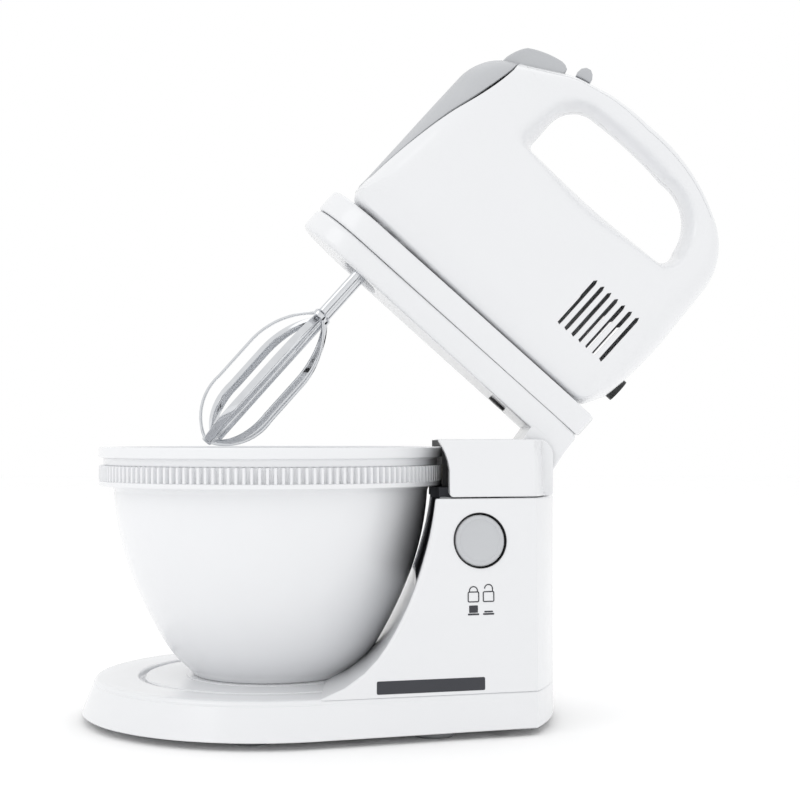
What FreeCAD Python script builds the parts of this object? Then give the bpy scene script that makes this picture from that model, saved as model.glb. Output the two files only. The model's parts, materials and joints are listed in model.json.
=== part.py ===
"""Stand mixer: a hand mixer on a tilting arm, over a bowl that a pinion in the stand turns.

Millimetres, +Z up. The bowl's axis is the design's own origin; bowl_x moves everything so that the whole
object's box is centred on X = 0, and the feet stand on Z = 0. -X is the bowl's side, +X the column's.
The arm and the hand mixer are drawn lowered, level over the bowl, and are placed raised about the hinge.
"""
import FreeCAD, Part
import math
import os
import Sketcher

doc = FreeCAD.newDocument("StandMixer")

# ---------------------------------------------------------------- the driving dimensions
SIZES = {
    # where things stand
    "bowl_x": -87.0,
    "head_tilt": 42,
    "hinge_x": 168,
    "hinge_z": 164,
    # plastics and clearances
    "wall": 3,
    "column_wall": 4,
    "thin_wall": 2.5,
    "run_fit": 0.05,
    # base and column
    "foot_tall": 5,
    "foot_rad": 13.5,
    "base_low_rad": 125,
    "base_deck_rad": 116,
    "deck_z": 28,
    "tail_x": 172,
    "tail_low": 77,
    "tail_deck": 74,
    "tail_top": 60,
    "tail_neck": 55,
    "back_bulge": 16,
    "column_rad": 104,
    "column_top": 147,
    "recess_rad": 88,
    "recess_z": 23.5,
    "neck_top": 184,
    "neck_front": 116.7,
    "slot_half": 43.5,
    # turntable and bowl
    "turntable_rad": 84,
    "spigot_rad": 8,
    "bowl_foot_z": 28,
    "bowl_wall": 2.4,
    "rim_rad": 114.3,
    "rim_z": 179,
    "gear_low_z": 153.7,
    "teeth_low_z": 157,
    "gear_top_z": 167,
    "gear_inner_rad": 106,
    "gear_module": 1.5,
    "ring_teeth": 150,
    "pinion_teeth": 18,
    "pinion_bore": 3,
    # lock button, square to the column's side
    "lock_x": 136,
    "lock_y": 73.2,
    "lock_z": 121,
    "lock_turn": 15.4,
    "lock_lean": 6.6,
    "lock_hole_rad": 17.4,
    "lock_cap_rad": 16.2,
    # hinge and arm
    "pin_rad": 4.5,
    "barrel_rad": 14,
    "arm_half": 42.5,
    "arm_nose_x": -50,
    "arm_low_z": 186,
    "arm_mid_z": 202,
    "arm_top_z": 218,
    "arm_tail_x": 178,
    "slot_x": 13,
    "slot_y": 34,
    # hand mixer
    "nose_x": -38.5,
    "tail_end_x": 180,
    "mixer_half": 43,
    "handle_half": 18,
    "motor_z": 266,
    "beater_y": 21,
    "beater_rad": 23.5,
    "beater_low_z": 38,
    "beater_top_z": 150,
    "beater_shaft_rad": 3,
    "wheel_module": 0.75,
    "wheel_teeth": 40,
    "socket_rad": 6,
    "motor_shaft_rad": 3,
    "lever_half": 11,
    "knob_half": 8,
}

sheet = doc.addObject("Spreadsheet::Sheet", "Sizes")
for row, (alias, number) in enumerate(SIZES.items(), start=1):
    sheet.set(f"A{row}", alias)
    sheet.set(f"B{row}", str(number))
    sheet.setAlias(f"B{row}", alias)
doc.recompute()


class Size:
    """A number together with the sheet formula that gives it, so plain sums stay bound to the sheet."""

    def __init__(self, value, text):
        self.value = float(value)
        self.text = text

    @staticmethod
    def of(other):
        if isinstance(other, Size):
            return other
        return Size(other, f"({other})")

    def _join(self, sign, value, other):
        return Size(value, f"({self.text} {sign} {Size.of(other).text})")

    def __add__(self, other):
        return self._join("+", self.value + Size.of(other).value, other)

    def __sub__(self, other):
        return self._join("-", self.value - Size.of(other).value, other)

    def __mul__(self, other):
        return self._join("*", self.value * Size.of(other).value, other)

    def __truediv__(self, other):
        return self._join("/", self.value / Size.of(other).value, other)

    def __radd__(self, other):
        return Size.of(other) + self

    def __rsub__(self, other):
        return Size.of(other) - self

    def __rmul__(self, other):
        return Size.of(other) * self

    def __neg__(self):
        return Size(-self.value, f"(-{self.text})")

    def cosine(self):
        return Size(math.cos(math.radians(self.value)), f"cos({self.text})")

    def sine(self):
        return Size(math.sin(math.radians(self.value)), f"sin({self.text})")


class Sheet:
    """Sheet.alias gives that cell as a Size."""

    def __getattr__(self, alias):
        return Size(SIZES[alias], f"Sizes.{alias}")


s = Sheet()


def bind(thing, name, size):
    """Binds one property of a document object to a Size; a plain number needs no cell."""
    thing.setExpression(name, Size.of(size).text)


# ---------------------------------------------------------------- building blocks
def box(name, x_span, y_span, z_span):
    block = doc.addObject("Part::Box", name)
    for side, axis, span in (("Length", "x", x_span), ("Width", "y", y_span), ("Height", "z", z_span)):
        bind(block, side, Size.of(span[1]) - span[0])
        bind(block, f"Placement.Base.{axis}", span[0])
    return block


AXIS_TURN = {
    "x": FreeCAD.Rotation(FreeCAD.Vector(0, 1, 0), 90),
    "y": FreeCAD.Rotation(FreeCAD.Vector(1, 0, 0), -90),
    "z": FreeCAD.Rotation(),
}


def rod(name, axis, radius, start, length):
    """A cylinder that begins at start and runs along +axis."""
    bar = doc.addObject("Part::Cylinder", name)
    bind(bar, "Radius", radius)
    bind(bar, "Height", length)
    bar.Placement = FreeCAD.Placement(FreeCAD.Vector(), AXIS_TURN[axis])
    for letter, value in zip("xyz", start):
        bind(bar, f"Placement.Base.{letter}", value)
    return bar


def fuse(name, *pieces):
    joined = doc.addObject("Part::MultiFuse", name)
    joined.Shapes = list(pieces)
    return joined


def cut(name, base, *tools):
    """The base less each tool in turn."""
    for index, tool in enumerate(tools):
        result = doc.addObject("Part::Cut", name if index == len(tools) - 1 else f"{name}_step_{index}")
        result.Base = base
        result.Tool = tool
        base = result
    return base


def common(name, *pieces):
    """The space that all the pieces share."""
    shared = doc.addObject("Part::MultiCommon", name)
    shared.Shapes = list(pieces)
    return shared


def group(name, *pieces):
    bundle = doc.addObject("Part::Compound", name)
    bundle.Links = list(pieces)
    return bundle


def draw_outline(sketch, points):
    """Straight sides from point to point. A point (u, v, mid_u, mid_v) is reached by an arc through the
    middle that it names; the first point's arc, if it has one, closes the outline."""
    corners = [FreeCAD.Vector(Size.of(p[0]).value, Size.of(p[1]).value, 0) for p in points]
    ends = []
    for index, point in enumerate(points):
        start, finish = corners[index - 1], corners[index]
        if len(point) == 4:
            middle = FreeCAD.Vector(Size.of(point[2]).value, Size.of(point[3]).value, 0)
            side = sketch.addGeometry(Part.Arc(start, middle, finish), False)
            forward = sketch.getPoint(side, 1).distanceToPoint(start) < 1e-6
        else:
            side = sketch.addGeometry(Part.LineSegment(start, finish), False)
            forward = True
        ends.append((side, 1, 2) if forward else (side, 2, 1))
    for index, (side, _, finish) in enumerate(ends):
        after, start, _ = ends[(index + 1) % len(ends)]
        sketch.addConstraint(Sketcher.Constraint("Coincident", side, finish, after, start))
    for (side, _, finish), corner, point in zip(ends, corners, points):
        for kind, number, size in (("DistanceX", corner.x, point[0]), ("DistanceY", corner.y, point[1])):
            index = sketch.addConstraint(Sketcher.Constraint(kind, -1, 1, side, finish, number))
            if isinstance(size, Size):
                bind(sketch, f"Constraints[{index}]", size)


def sketch_in(body, name, plane, offset=0):
    sketch = body.newObject("Sketcher::SketchObject", name)
    origin_plane = [item for item in body.Origin.OriginFeatures if item.Role == plane + "_Plane"][0]
    sketch.AttachmentSupport = [(origin_plane, "")]
    sketch.MapMode = "FlatFace"
    bind(sketch, "AttachmentOffset.Base.z", offset)
    return sketch


def pad(name, plane, span, points):
    """A body: an outline in the XY, XZ or YZ plane, padded from span[0] to span[1] along the third axis."""
    body = doc.addObject("PartDesign::Body", name)
    offset = -Size.of(span[1]) if plane == "XZ" else span[0]  # the XZ plane's normal is -Y
    sketch = sketch_in(body, name + "_outline", plane, offset)
    draw_outline(sketch, points)
    feature = body.newObject("PartDesign::Pad", name + "_pad")
    feature.Profile = sketch
    bind(feature, "Length", Size.of(span[1]) - span[0])
    return body


def turned(name, points):
    """A body: a profile of (radius, height) points, revolved about the Z axis."""
    body = doc.addObject("PartDesign::Body", name)
    sketch = sketch_in(body, name + "_profile", "XZ")
    draw_outline(sketch, points)
    feature = body.newObject("PartDesign::Revolution", name + "_turn")
    feature.Profile = sketch
    feature.ReferenceAxis = (sketch, ["V_Axis"])
    feature.Angle = 360
    return body


NODES = []


def node(thing, name, on_head=False, at=(0, 0, 0)):
    """Makes thing a sub-part, with its label and its place at rest, raised about the hinge if on the head."""
    thing.Label = name
    x, y, z = (Size.of(value) for value in at)
    if on_head:
        thing.Placement = FreeCAD.Placement(
            FreeCAD.Vector(), FreeCAD.Rotation(FreeCAD.Vector(0, 1, 0), s.head_tilt.value)
        )
        bind(thing, "Placement.Rotation.Angle", s.head_tilt)
        cosine, sine = s.head_tilt.cosine(), s.head_tilt.sine()
        along, above = x - s.hinge_x, z - s.hinge_z
        bind(thing, "Placement.Base.x", s.bowl_x + s.hinge_x + along * cosine + above * sine)
        bind(thing, "Placement.Base.z", s.hinge_z - along * sine + above * cosine)
    else:
        bind(thing, "Placement.Base.x", s.bowl_x + x)
        bind(thing, "Placement.Base.z", z)
    bind(thing, "Placement.Base.y", y)
    NODES.append((name, thing))


# ---------------------------------------------------------------- stand
def stand_outline(name, radius, tail, height, inset=0):
    """The stand's plan at one height: round in front, straight tapering sides, a gently bulging back."""
    r, w, x, h = Size.of(radius) - inset, Size.of(tail) - inset, s.tail_x - inset, s.back_bulge
    reach = math.hypot(x.value, w.value)
    touch = math.atan2(w.value, x.value) + math.acos(r.value / reach)
    tangent = FreeCAD.Vector(r.value * math.cos(touch), r.value * math.sin(touch), 0)
    mirror = FreeCAD.Vector(tangent.x, -tangent.y, 0)
    near, far = FreeCAD.Vector(x.value, -w.value, 0), FreeCAD.Vector(x.value, w.value, 0)
    sketch = doc.addObject("Sketcher::SketchObject", name)
    front = Part.Arc(tangent, FreeCAD.Vector(-r.value, 0, 0), mirror)
    back = Part.Arc(near, FreeCAD.Vector(x.value + h.value, 0, 0), far)
    for side in (front, Part.LineSegment(mirror, near), back, Part.LineSegment(far, tangent)):
        sketch.addGeometry(side, False)
    for first, end, second, start in ((0, 2, 1, 1), (1, 2, 2, 1), (2, 2, 3, 1), (3, 2, 0, 1)):
        sketch.addConstraint(Sketcher.Constraint("Coincident", first, end, second, start))
    sketch.addConstraint(Sketcher.Constraint("Coincident", 0, 3, -1, 1))
    for kind, side, end, size in (
        ("DistanceX", 1, 2, x),
        ("DistanceY", 1, 2, -w),
        ("DistanceX", 3, 1, x),
        ("DistanceY", 3, 1, w),
    ):
        index = sketch.addConstraint(Sketcher.Constraint(kind, -1, 1, side, end, size.value))
        bind(sketch, f"Constraints[{index}]", size)
    for side, size in ((0, r), (2, (w * w + h * h) / (h * 2))):
        index = sketch.addConstraint(Sketcher.Constraint("Radius", side, size.value))
        bind(sketch, f"Constraints[{index}]", size)
    bind(sketch, "Placement.Base.z", height)
    return sketch


def stand_loft(name, low, high, inset=0):
    """A straight-sided block between two plans, each (radius, tail half-width, height)."""
    block = doc.addObject("Part::Loft", name)
    block.Sections = [
        stand_outline(name + "_low", *low, inset),
        stand_outline(name + "_high", *high, inset),
    ]
    block.Solid = True
    block.Ruled = True
    return block


def column_front(name, back_by, z_low, z_high):
    """Everything in front of the column's curved front edge, moved back by back_by."""
    curve = ((76, 55), (90.4, 81), (100.7, 110), (108, 147))
    near_side = [(Size.of(x) + back_by, z) for x, z in curve]
    points = [(-200, z_low), (Size.of(38) + back_by, z_low)]
    points.append((near_side[0][0], 55, Size.of(61) + back_by, 39.5))
    points.append((*near_side[1], Size.of(83.9) + back_by, 68))
    points.append((*near_side[2], Size.of(95.7) + back_by, 94))
    points.append((*near_side[3], Size.of(105.4) + back_by, 129))
    points += [(Size.of(108) + back_by, z_high), (-200, z_high)]
    return pad(name, "XZ", (-160, 160), points)


def stand_housing():
    plans = (
        (s.base_low_rad, s.tail_low, s.foot_tall),
        (s.base_deck_rad, s.tail_deck, s.deck_z),
        (s.column_rad, s.tail_top, s.column_top),
    )
    pedestal = stand_loft("pedestal", plans[0], plans[1])
    column = stand_loft("column", plans[1], plans[2])
    column_cut = cut("column_body", column, column_front("front_space", 0, s.deck_z, 160))
    outside = fuse("stand_outside", pedestal, column_cut)

    floor_plan = (s.base_low_rad, s.tail_low, 0)
    ceiling_plan = (s.base_deck_rad, s.tail_deck, s.deck_z - s.wall)
    under = stand_loft("under_deck", floor_plan, ceiling_plan, s.wall)
    inside_column = stand_loft(
        "inside_column", (s.base_deck_rad, s.tail_deck, 20), (s.column_rad, s.tail_top, 150), s.column_wall
    )
    recess_wall = rod("recess_wall", "z", s.recess_rad + s.wall, (0, 0, s.recess_z - s.wall), 200)
    bosses = [
        rod(f"screw_boss_{index}", "z", BOSS_RAD, (x, y, s.foot_tall + s.wall), BOSS_TALL)
        for index, (x, y) in enumerate(SCREW_PLACES)
    ]
    front_wall = column_front("front_wall", s.wall, s.deck_z - s.wall - 8, 160)
    column_space = cut("column_space", inside_column, front_wall, recess_wall, *bosses)
    deck_space = cut("deck_space", under, recess_wall, *bosses)
    panel_window = box("panel_window", (70, 125), (-73, 73), (92, 160))
    recess = rod("recess", "z", s.recess_rad, (0, 0, s.recess_z), 200)
    spigot_hole = rod("spigot_hole", "z", 11, (0, 0, 10), 30)
    lock_hole = rod("lock_hole", "z", s.lock_hole_rad, (0, 0, -30), 60)
    place_on_lock_axis(lock_hole, -30)
    hollows = (deck_space, column_space, panel_window, recess, spigot_hole, lock_hole)
    shell = cut("stand_shell", outside, *hollows)
    node(cut("stand_drilled", shell, *bottom_screws("boss_hole")), "stand_housing")


def place_on_lock_axis(thing, along=0, shift=0):
    """Turns a piece drawn on Z so that it points out along the lock button's axis, begun at that distance."""
    turn = FreeCAD.Rotation(FreeCAD.Vector(0, 0, 1), s.lock_turn.value)
    turn = turn.multiply(FreeCAD.Rotation(FreeCAD.Vector(1, 0, 0), 90 - s.lock_lean.value))
    direction = turn.multVec(FreeCAD.Vector(0, 0, 1))
    thing.Placement = FreeCAD.Placement(FreeCAD.Vector(), turn)
    bind(thing, "Placement.Base.x", s.lock_x + direction.x * along + shift)
    bind(thing, "Placement.Base.y", -s.lock_y + direction.y * along)
    bind(thing, "Placement.Base.z", s.lock_z + direction.z * along)


SCREW_PLACES = ((-70, 60), (-70, -60), (60, 97), (60, -97), (150, 70), (150, -70))
SCREW_RAD, SCREW_HEAD_TALL, SCREW_LONG = 1.6, 2.0, 14
BOSS_RAD, BOSS_TALL = 5, 40


def bottom_screws(name, radius_more=0):
    return [
        screw(f"{name}_{index}", (x, y, s.foot_tall - SCREW_HEAD_TALL), SCREW_RAD + radius_more)
        for index, (x, y) in enumerate(SCREW_PLACES)
    ]


def bottom_plate():
    plan = (s.base_low_rad, s.tail_low)
    plate = stand_loft("plate_blank", (*plan, s.foot_tall), (*plan, s.foot_tall + s.wall), 7.5)
    node(cut("plate_drilled", plate, *bottom_screws("plate_hole")), "bottom_plate")
    node(group("bottom_screw_set", *bottom_screws("bottom_screw")), "bottom_screws")


FEET = (
    ("front", -100, 0),
    ("mid_near", -5, -95),
    ("mid_far", -5, 95),
    ("rear_near", 107, -74),
    ("rear_far", 107, 74),
)


def feet():
    for place, x, y in FEET:
        foot = turned(
            "foot_" + place,
            ((0, 0), (s.foot_rad - 1.5, 0), (s.foot_rad, 1.5), (s.foot_rad, s.foot_tall), (0, s.foot_tall)),
        )
        node(foot, "foot_" + place, at=(x, y, 0))


def screw(name, start, radius):
    """A pan-head screw, its head at start and its shank running up."""
    x, y, z = start
    head = rod(name + "_head", "z", radius * 2, start, SCREW_HEAD_TALL)
    shank = rod(name + "_shank", "z", radius, (x, y, z + SCREW_HEAD_TALL), SCREW_LONG)
    return fuse(name, head, shank)


def turntable():
    profile = (
        (0, 14), (s.spigot_rad, 14), (s.spigot_rad, 24), (s.turntable_rad, 24), (s.turntable_rad, 26.5),
        (s.turntable_rad - 1, 27.5), (57, 27.5), (57, 28), (0, 28),
    )
    node(turned("turntable_disc", profile), "turntable")
    fit = s.spigot_rad + s.run_fit
    bush = ((fit, 13), (11, 13), (11, 23.5), (fit, 23.5))
    node(turned("bush_ring", bush), "turntable_bush")


def bowl():
    outer = [
        (0, 30), (46, 30), (46, s.bowl_foot_z), (52, s.bowl_foot_z), (55, 32),
        (73.9, 55, 65.6, 42.6), (92.4, 94, 84.1, 74.5), (104.3, 150.6, 100.4, 121.5),
        (s.gear_inner_rad, s.gear_low_z), (s.gear_inner_rad, s.gear_top_z), (111, s.gear_top_z), (111, 172),
        (s.rim_rad, 172), (s.rim_rad, 178), (s.rim_rad - 1, s.rim_z), (110, s.rim_z), (108.6, 177),
        (108.6, 169.4), (s.gear_inner_rad - s.bowl_wall, 167),
        (s.gear_inner_rad - s.bowl_wall, 155), (101.9, 150.6),
        (90, 94, 98.0, 121.5), (71.5, 56.8, 81.8, 74.9), (52, 34.5, 63.2, 44.0), (46, 32.4), (0, 32.4),
    ]
    node(turned("bowl_body", outer), "bowl")


def toothed_ring(name, module, teeth, phase, inner, z_span, shares, band=None):
    """Straight-flanked teeth round a ring. Tooth 0 is centred on the angle phase, in degrees; shares are
    half a tooth's width at its tip and at its root, as parts of the pitch. The band is a plain rim below."""
    pitch_rad = module * teeth / 2
    tip, root = pitch_rad + module, pitch_rad - 1.25 * module
    pitch = math.pi * module
    tip_half, root_half = shares[0] * pitch / tip, shares[1] * pitch / root
    corners = []
    for tooth in range(teeth):
        middle = math.radians(phase) + 2 * math.pi * tooth / teeth
        for radius, offset in ((root, -root_half), (tip, -tip_half), (tip, tip_half), (root, root_half)):
            angle = middle + offset
            corners.append(FreeCAD.Vector(radius * math.cos(angle), radius * math.sin(angle), z_span[0]))
    face = Part.Face(Part.makePolygon(corners + corners[:1]))
    body = face.extrude(FreeCAD.Vector(0, 0, z_span[1] - z_span[0]))
    if band:
        body = body.fuse(Part.makeCylinder(tip, band[1] - band[0], FreeCAD.Vector(0, 0, band[0])))
    low = min(z_span[0], band[0] if band else z_span[0])
    body = body.cut(Part.makeCylinder(inner, 100, FreeCAD.Vector(0, 0, low - 1)))
    feature = doc.addObject("Part::Feature", name)
    feature.Shape = body
    return feature


def bowl_drive():
    module = s.gear_module.value
    ring = toothed_ring(
        "ring_gear", module, int(s.ring_teeth.value), 0, s.gear_inner_rad.value,
        (s.teeth_low_z.value, s.gear_top_z.value), (0.17, 0.28), (s.gear_low_z.value, s.teeth_low_z.value),
    )
    node(ring, "bowl_gear_ring")
    teeth = int(s.pinion_teeth.value)
    pinion = toothed_ring(
        "pinion_gear", module, teeth, 180 / teeth, s.pinion_bore.value, (157.6, 166.6), (0.13, 0.21)
    )
    centre = s.gear_module * (s.ring_teeth + s.pinion_teeth) / 2
    node(pinion, "bowl_pinion", at=(centre, 0, 0))
    shaft = fuse(
        "pinion_spindle",
        rod("spindle_bar", "z", s.pinion_bore, (0, 0, 154.5), 26.5),
        rod("dog_disc", "z", 7, (0, 0, 176), 4.5),
        box("dog_bar", (-6.5, 6.5), (-1.5, 1.5), (180.5, 182.5)),
    )
    node(shaft, "pinion_shaft", at=(centre, 0, 0))
    fit = s.pinion_bore + s.run_fit
    for name, low, high in (("lower", 153.5, 157.4), ("upper", 169, 175)):
        bush = turned(f"bush_{name}", ((fit, low), (5.5, low), (5.5, high), (fit, high)))
        node(bush, f"pinion_bush_{name}", at=(centre, 0, 0))
    block = pad(
        "gear_block", "XZ", (-43, 43),
        ((105, 153), (142.5, 153), (142.5, 178), (137, 183.5), (105, 183.5)),
    )
    pocket = rod("pinion_pocket", "z", 16, (centre, 0, 157.4), 11.6)
    node(
        cut(
            "gear_block_cut", block,
            rod("bowl_clearance", "z", 116.5, (0, 0, 140), 60),
            box("gear_corner_near", (90, 116.6), (-44, -26), (150, 190)),
            box("gear_corner_far", (90, 116.6), (26, 44), (150, 190)),
            pocket,
            rod("bush_seat", "z", 5.5, (centre, 0, 150), 30),
            rod("dog_well", "z", 8, (centre, 0, 175), 20),
        ),
        "gear_housing",
    )


def front_panel():
    """The dark panel that closes the column behind the bowl, and the shelf on its top."""
    behind, ahead = column_front("panel_back", 3.2, 94, 146), column_front("panel_face", 1, 70, 160)
    sheet_in = cut("panel_blank", behind, ahead)
    panel = common("panel_sheet", sheet_in, box("panel_width", (80, 115), (-72.5, 72.5), (94, 146)))
    shelf = cut(
        "panel_shelf", box("shelf_block", (96, 142), (-43, 43), (146, 152.9)),
        rod("shelf_curve", "z", 109, (0, 0, 140), 30),
        box("under_shelf", (112, 143), (-41, 41), (145, 150.5)),
        box("shelf_corner_near", (90, 111), (-44, -26), (140, 160)),
        box("shelf_corner_far", (90, 111), (26, 44), (140, 160)),
    )
    node(fuse("panel_whole", panel, shelf), "front_panel")


def neck_cover():
    top = (s.column_rad - 3, s.tail_neck, s.neck_top)
    low = (s.column_rad, s.tail_top, s.column_top + 0.4)
    shape = pad(
        "neck_side", "XZ", (-100, 100),
        (
            (s.neck_front, 147.4), (s.neck_front, 165), (109, 183, 114.6, 174.5), (110.5, s.neck_top),
            (176, s.neck_top), (192, 172, 184.5, 180.3), (192, 147.4),
        ),
    )
    outside = common("neck_outside", stand_loft("neck_loft", low, top), shape)
    inside_low = (s.column_rad, s.tail_top, s.column_top - 1)
    inside_whole = common(
        "neck_inside",
        stand_loft("neck_space", inside_low, (s.column_rad - 3, s.tail_neck, s.neck_top - s.wall), s.wall),
        pad("neck_inner_side", "XZ", (-100, 100),
            ((120, 140), (120, 181), (174, 181), (185.5, 172, 181.5, 177.6), (185.5, 140))),
    )
    cheek = s.slot_half + s.thin_wall
    inside = cut("cheek_space", inside_whole, box("cheek_walls", (100, 200), (-cheek, cheek), (149.5, 200)))
    slot = box("neck_slot", (90, 200), (-s.slot_half, s.slot_half), (149.5, 200))
    gear_gap = box("gear_gap", (90, 143), (-s.slot_half, s.slot_half), (140, 200))
    pin_holes = rod("pin_holes", "y", s.pin_rad, (s.hinge_x, -48, s.hinge_z), 96)
    node(cut("neck_shell", outside, inside, slot, gear_gap, pin_holes), "neck_cover")


def hinge():
    pin = rod("pin_shank", "y", s.pin_rad, (s.hinge_x, -48, s.hinge_z), 96)
    node(group("pin_bar", pin), "hinge_pin")
    for side, low in (("near", -48), ("far", 46.2)):
        plate = pad(
            f"bracket_{side}_blank", "XZ", (low, low + 1.8),
            ((150, 76), (171.5, 76), (171.5, 166), (158, 166, 164.8, 171.6), (150, 150)),
        )
        hole = rod(f"bracket_{side}_hole", "y", s.pin_rad, (s.hinge_x, low - 1, s.hinge_z), 5)
        node(cut(f"bracket_{side}_cut", plate, hole), f"hinge_bracket_{side}")


def lock():
    """A dished cap in a black cup, with a stem and a latch bolt behind it, all on the button's own axis."""
    rad, hole = s.lock_cap_rad, s.lock_hole_rad
    cup = turned(
        "lock_cup_ring",
        ((16.9, -13), (hole, -13), (hole, 0.2), (16.9, 0.2)),
    )
    floor = turned("lock_cup_floor", ((4.6, -15), (hole, -15), (hole, -13), (4.6, -13)))
    lock_cup = fuse("lock_cup_whole", cup, floor)
    cap = turned(
        "lock_cap_body",
        ((0, -7), (rad, -7), (rad, -1.2), (rad - 0.8, -0.4), (13, -0.4), (1.5, -1.6, 7.2, -1.27), (0, -1.6)),
    )
    stem = turned("lock_stem_rod", ((0, -26), (4.2, -26), (4.2, -7), (0, -7)))
    bolt = turned("latch_bolt_rod", ((0, -26), (0, -30), (2, -30), (5.5, -28), (5.5, -26)))
    pieces = ((lock_cup, "lock_cup"), (cap, "lock_button"), (stem, "lock_stem"), (bolt, "latch_bolt"))
    for thing, name in pieces:
        thing.Label = name
        place_on_lock_axis(thing, shift=s.bowl_x)
        NODES.append((name, thing))


# ---------------------------------------------------------------- arm, drawn lowered
def arm_plan(name, z_span, inset=0):
    half, nose = s.arm_half - inset, s.arm_nose_x + inset
    tail = s.arm_tail_x - inset
    bend = half * 0.7071
    round_x = nose + half
    points = (
        (round_x, -half), (nose, 0, round_x - bend, -bend), (round_x, half, round_x - bend, bend),
        (tail, half), (tail, -half),
    )
    return pad(name, "XY", z_span, points)


def beater_slot(name):
    x, y = s.slot_x, s.slot_y
    bend = x * 0.7071
    points = (
        (-x, -y + x), (x, -y + x, 0, -y), (x, y - x), (-x, y - x, 0, y),
    )
    return pad(name, "XY", (150, 260), points)


def arm():
    lower = arm_plan("arm_lower_block", (s.arm_low_z, s.arm_mid_z))
    lower_space = arm_plan("arm_lower_space", (s.arm_low_z + s.thin_wall, s.arm_mid_z + 1), s.thin_wall)
    tongue = pad(
        "arm_tongue", "XZ", (-s.arm_half, s.arm_half),
        ((154, s.hinge_z), (150, s.arm_low_z + 2), (152, 200), (176, 200), (178, 188), (182, s.hinge_z)),
    )
    barrel = rod("arm_barrel", "y", s.barrel_rad, (s.hinge_x, -s.arm_half, s.hinge_z), s.arm_half * 2)
    lower_shell = cut("arm_lower_shell", lower, lower_space)
    lower_whole = fuse("arm_lower_whole", lower_shell, tongue, barrel)
    node(
        cut(
            "arm_lower_cut", lower_whole, beater_slot("slot_low"),
            rod("arm_bore", "y", 8, (s.hinge_x, -60, s.hinge_z), 120),
            rod("arm_drive_hole", "z", 4, (126, 0, 180), 20),
        ),
        "arm_lower", on_head=True,
    )
    upper = arm_plan("arm_upper_block", (s.arm_mid_z, s.arm_top_z))
    upper_space = arm_plan("arm_upper_space", (s.arm_mid_z - 1, s.arm_top_z - s.thin_wall), s.thin_wall)
    node(cut("arm_upper_cut", upper, upper_space, beater_slot("slot_high")), "arm_upper", on_head=True)

    for side, low in (("near", -s.arm_half), ("far", s.arm_half - 20)):
        ring = cut(
            f"hinge_bush_{side}_ring",
            rod(f"hinge_bush_{side}_out", "y", 8, (s.hinge_x, low, s.hinge_z), 20),
            rod(f"hinge_bush_{side}_in", "y", s.pin_rad + s.run_fit, (s.hinge_x, low - 1, s.hinge_z), 22),
        )
        node(ring, f"hinge_bush_{side}", on_head=True)

    spindle = fuse(
        "arm_spindle",
        rod("arm_spindle_bar", "z", 3.9, (0, 0, 184.5), 26),
        rod("arm_spindle_collar", "z", 7, (0, 0, 189), 3),
        rod("arm_dog_disc", "z", 6.5, (0, 0, 184.3), 1.6),
    )
    node(spindle, "arm_drive_spindle", on_head=True, at=(126, 0, 0))


# ---------------------------------------------------------------- hand mixer, drawn lowered
def mixer_side(name, span=(-60, 60)):
    """The hand mixer's side view."""
    points = (
        (-33, s.arm_top_z), (s.nose_x, 226), (s.nose_x, 331), (-28, 355, -35.6, 343.5), (-24, 358.5),
        (12.7, 379.5), (20, 382.5), (43, 388.5), (78, 390.5, 60, 390.4), (150, 374, 118, 386.8),
        (178, 330, 170.6, 356), (s.tail_end_x, 290), (176, 236, 179.4, 262), (166, s.arm_top_z),
    )
    return pad(name, "XZ", span, points)


def mixer_front(name, inset=0):
    """The hand mixer's front view: a wide motor housing that narrows to the handle."""
    wide, slim = s.mixer_half - inset, s.handle_half - inset
    half = (
        (35 - Size.of(inset), 200), (35 - Size.of(inset), s.arm_top_z + inset), (wide, 232, wide - 2, 223),
        (wide, 292), (wide - 10, 325, wide - 2.4, 311), (slim + 3, 352, slim + 7.5, 341), (slim, 375),
        (slim, 420),
    )
    right = [tuple(p) for p in half]
    left = [(-Size.of(half[-1][0]), half[-1][1])]
    for here, before in zip(reversed(half[:-1]), reversed(half[1:])):
        corner = (-Size.of(here[0]), here[1])
        left.append(corner if len(before) == 2 else (*corner, -Size.of(before[2]), before[3]))
    return pad(name, "YZ", (-60, 200), right + left)


def mixer_plan(name, inset=0):
    """The hand mixer from above: a round nose and a rounder tail."""
    half = s.mixer_half + 1 - inset
    nose, tail = s.nose_x + inset, s.tail_end_x - inset
    points = (
        (-6, -half), (nose, 0, -27.5 + Size.of(inset), -30), (-6, half, -27.5 + Size.of(inset), 30),
        (140, half), (tail, 14, 170, 33), (tail, -14), (140, -half, 170, -33),
    )
    return pad(name, "XY", (200, 420), points)


VENTS = 7


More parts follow.
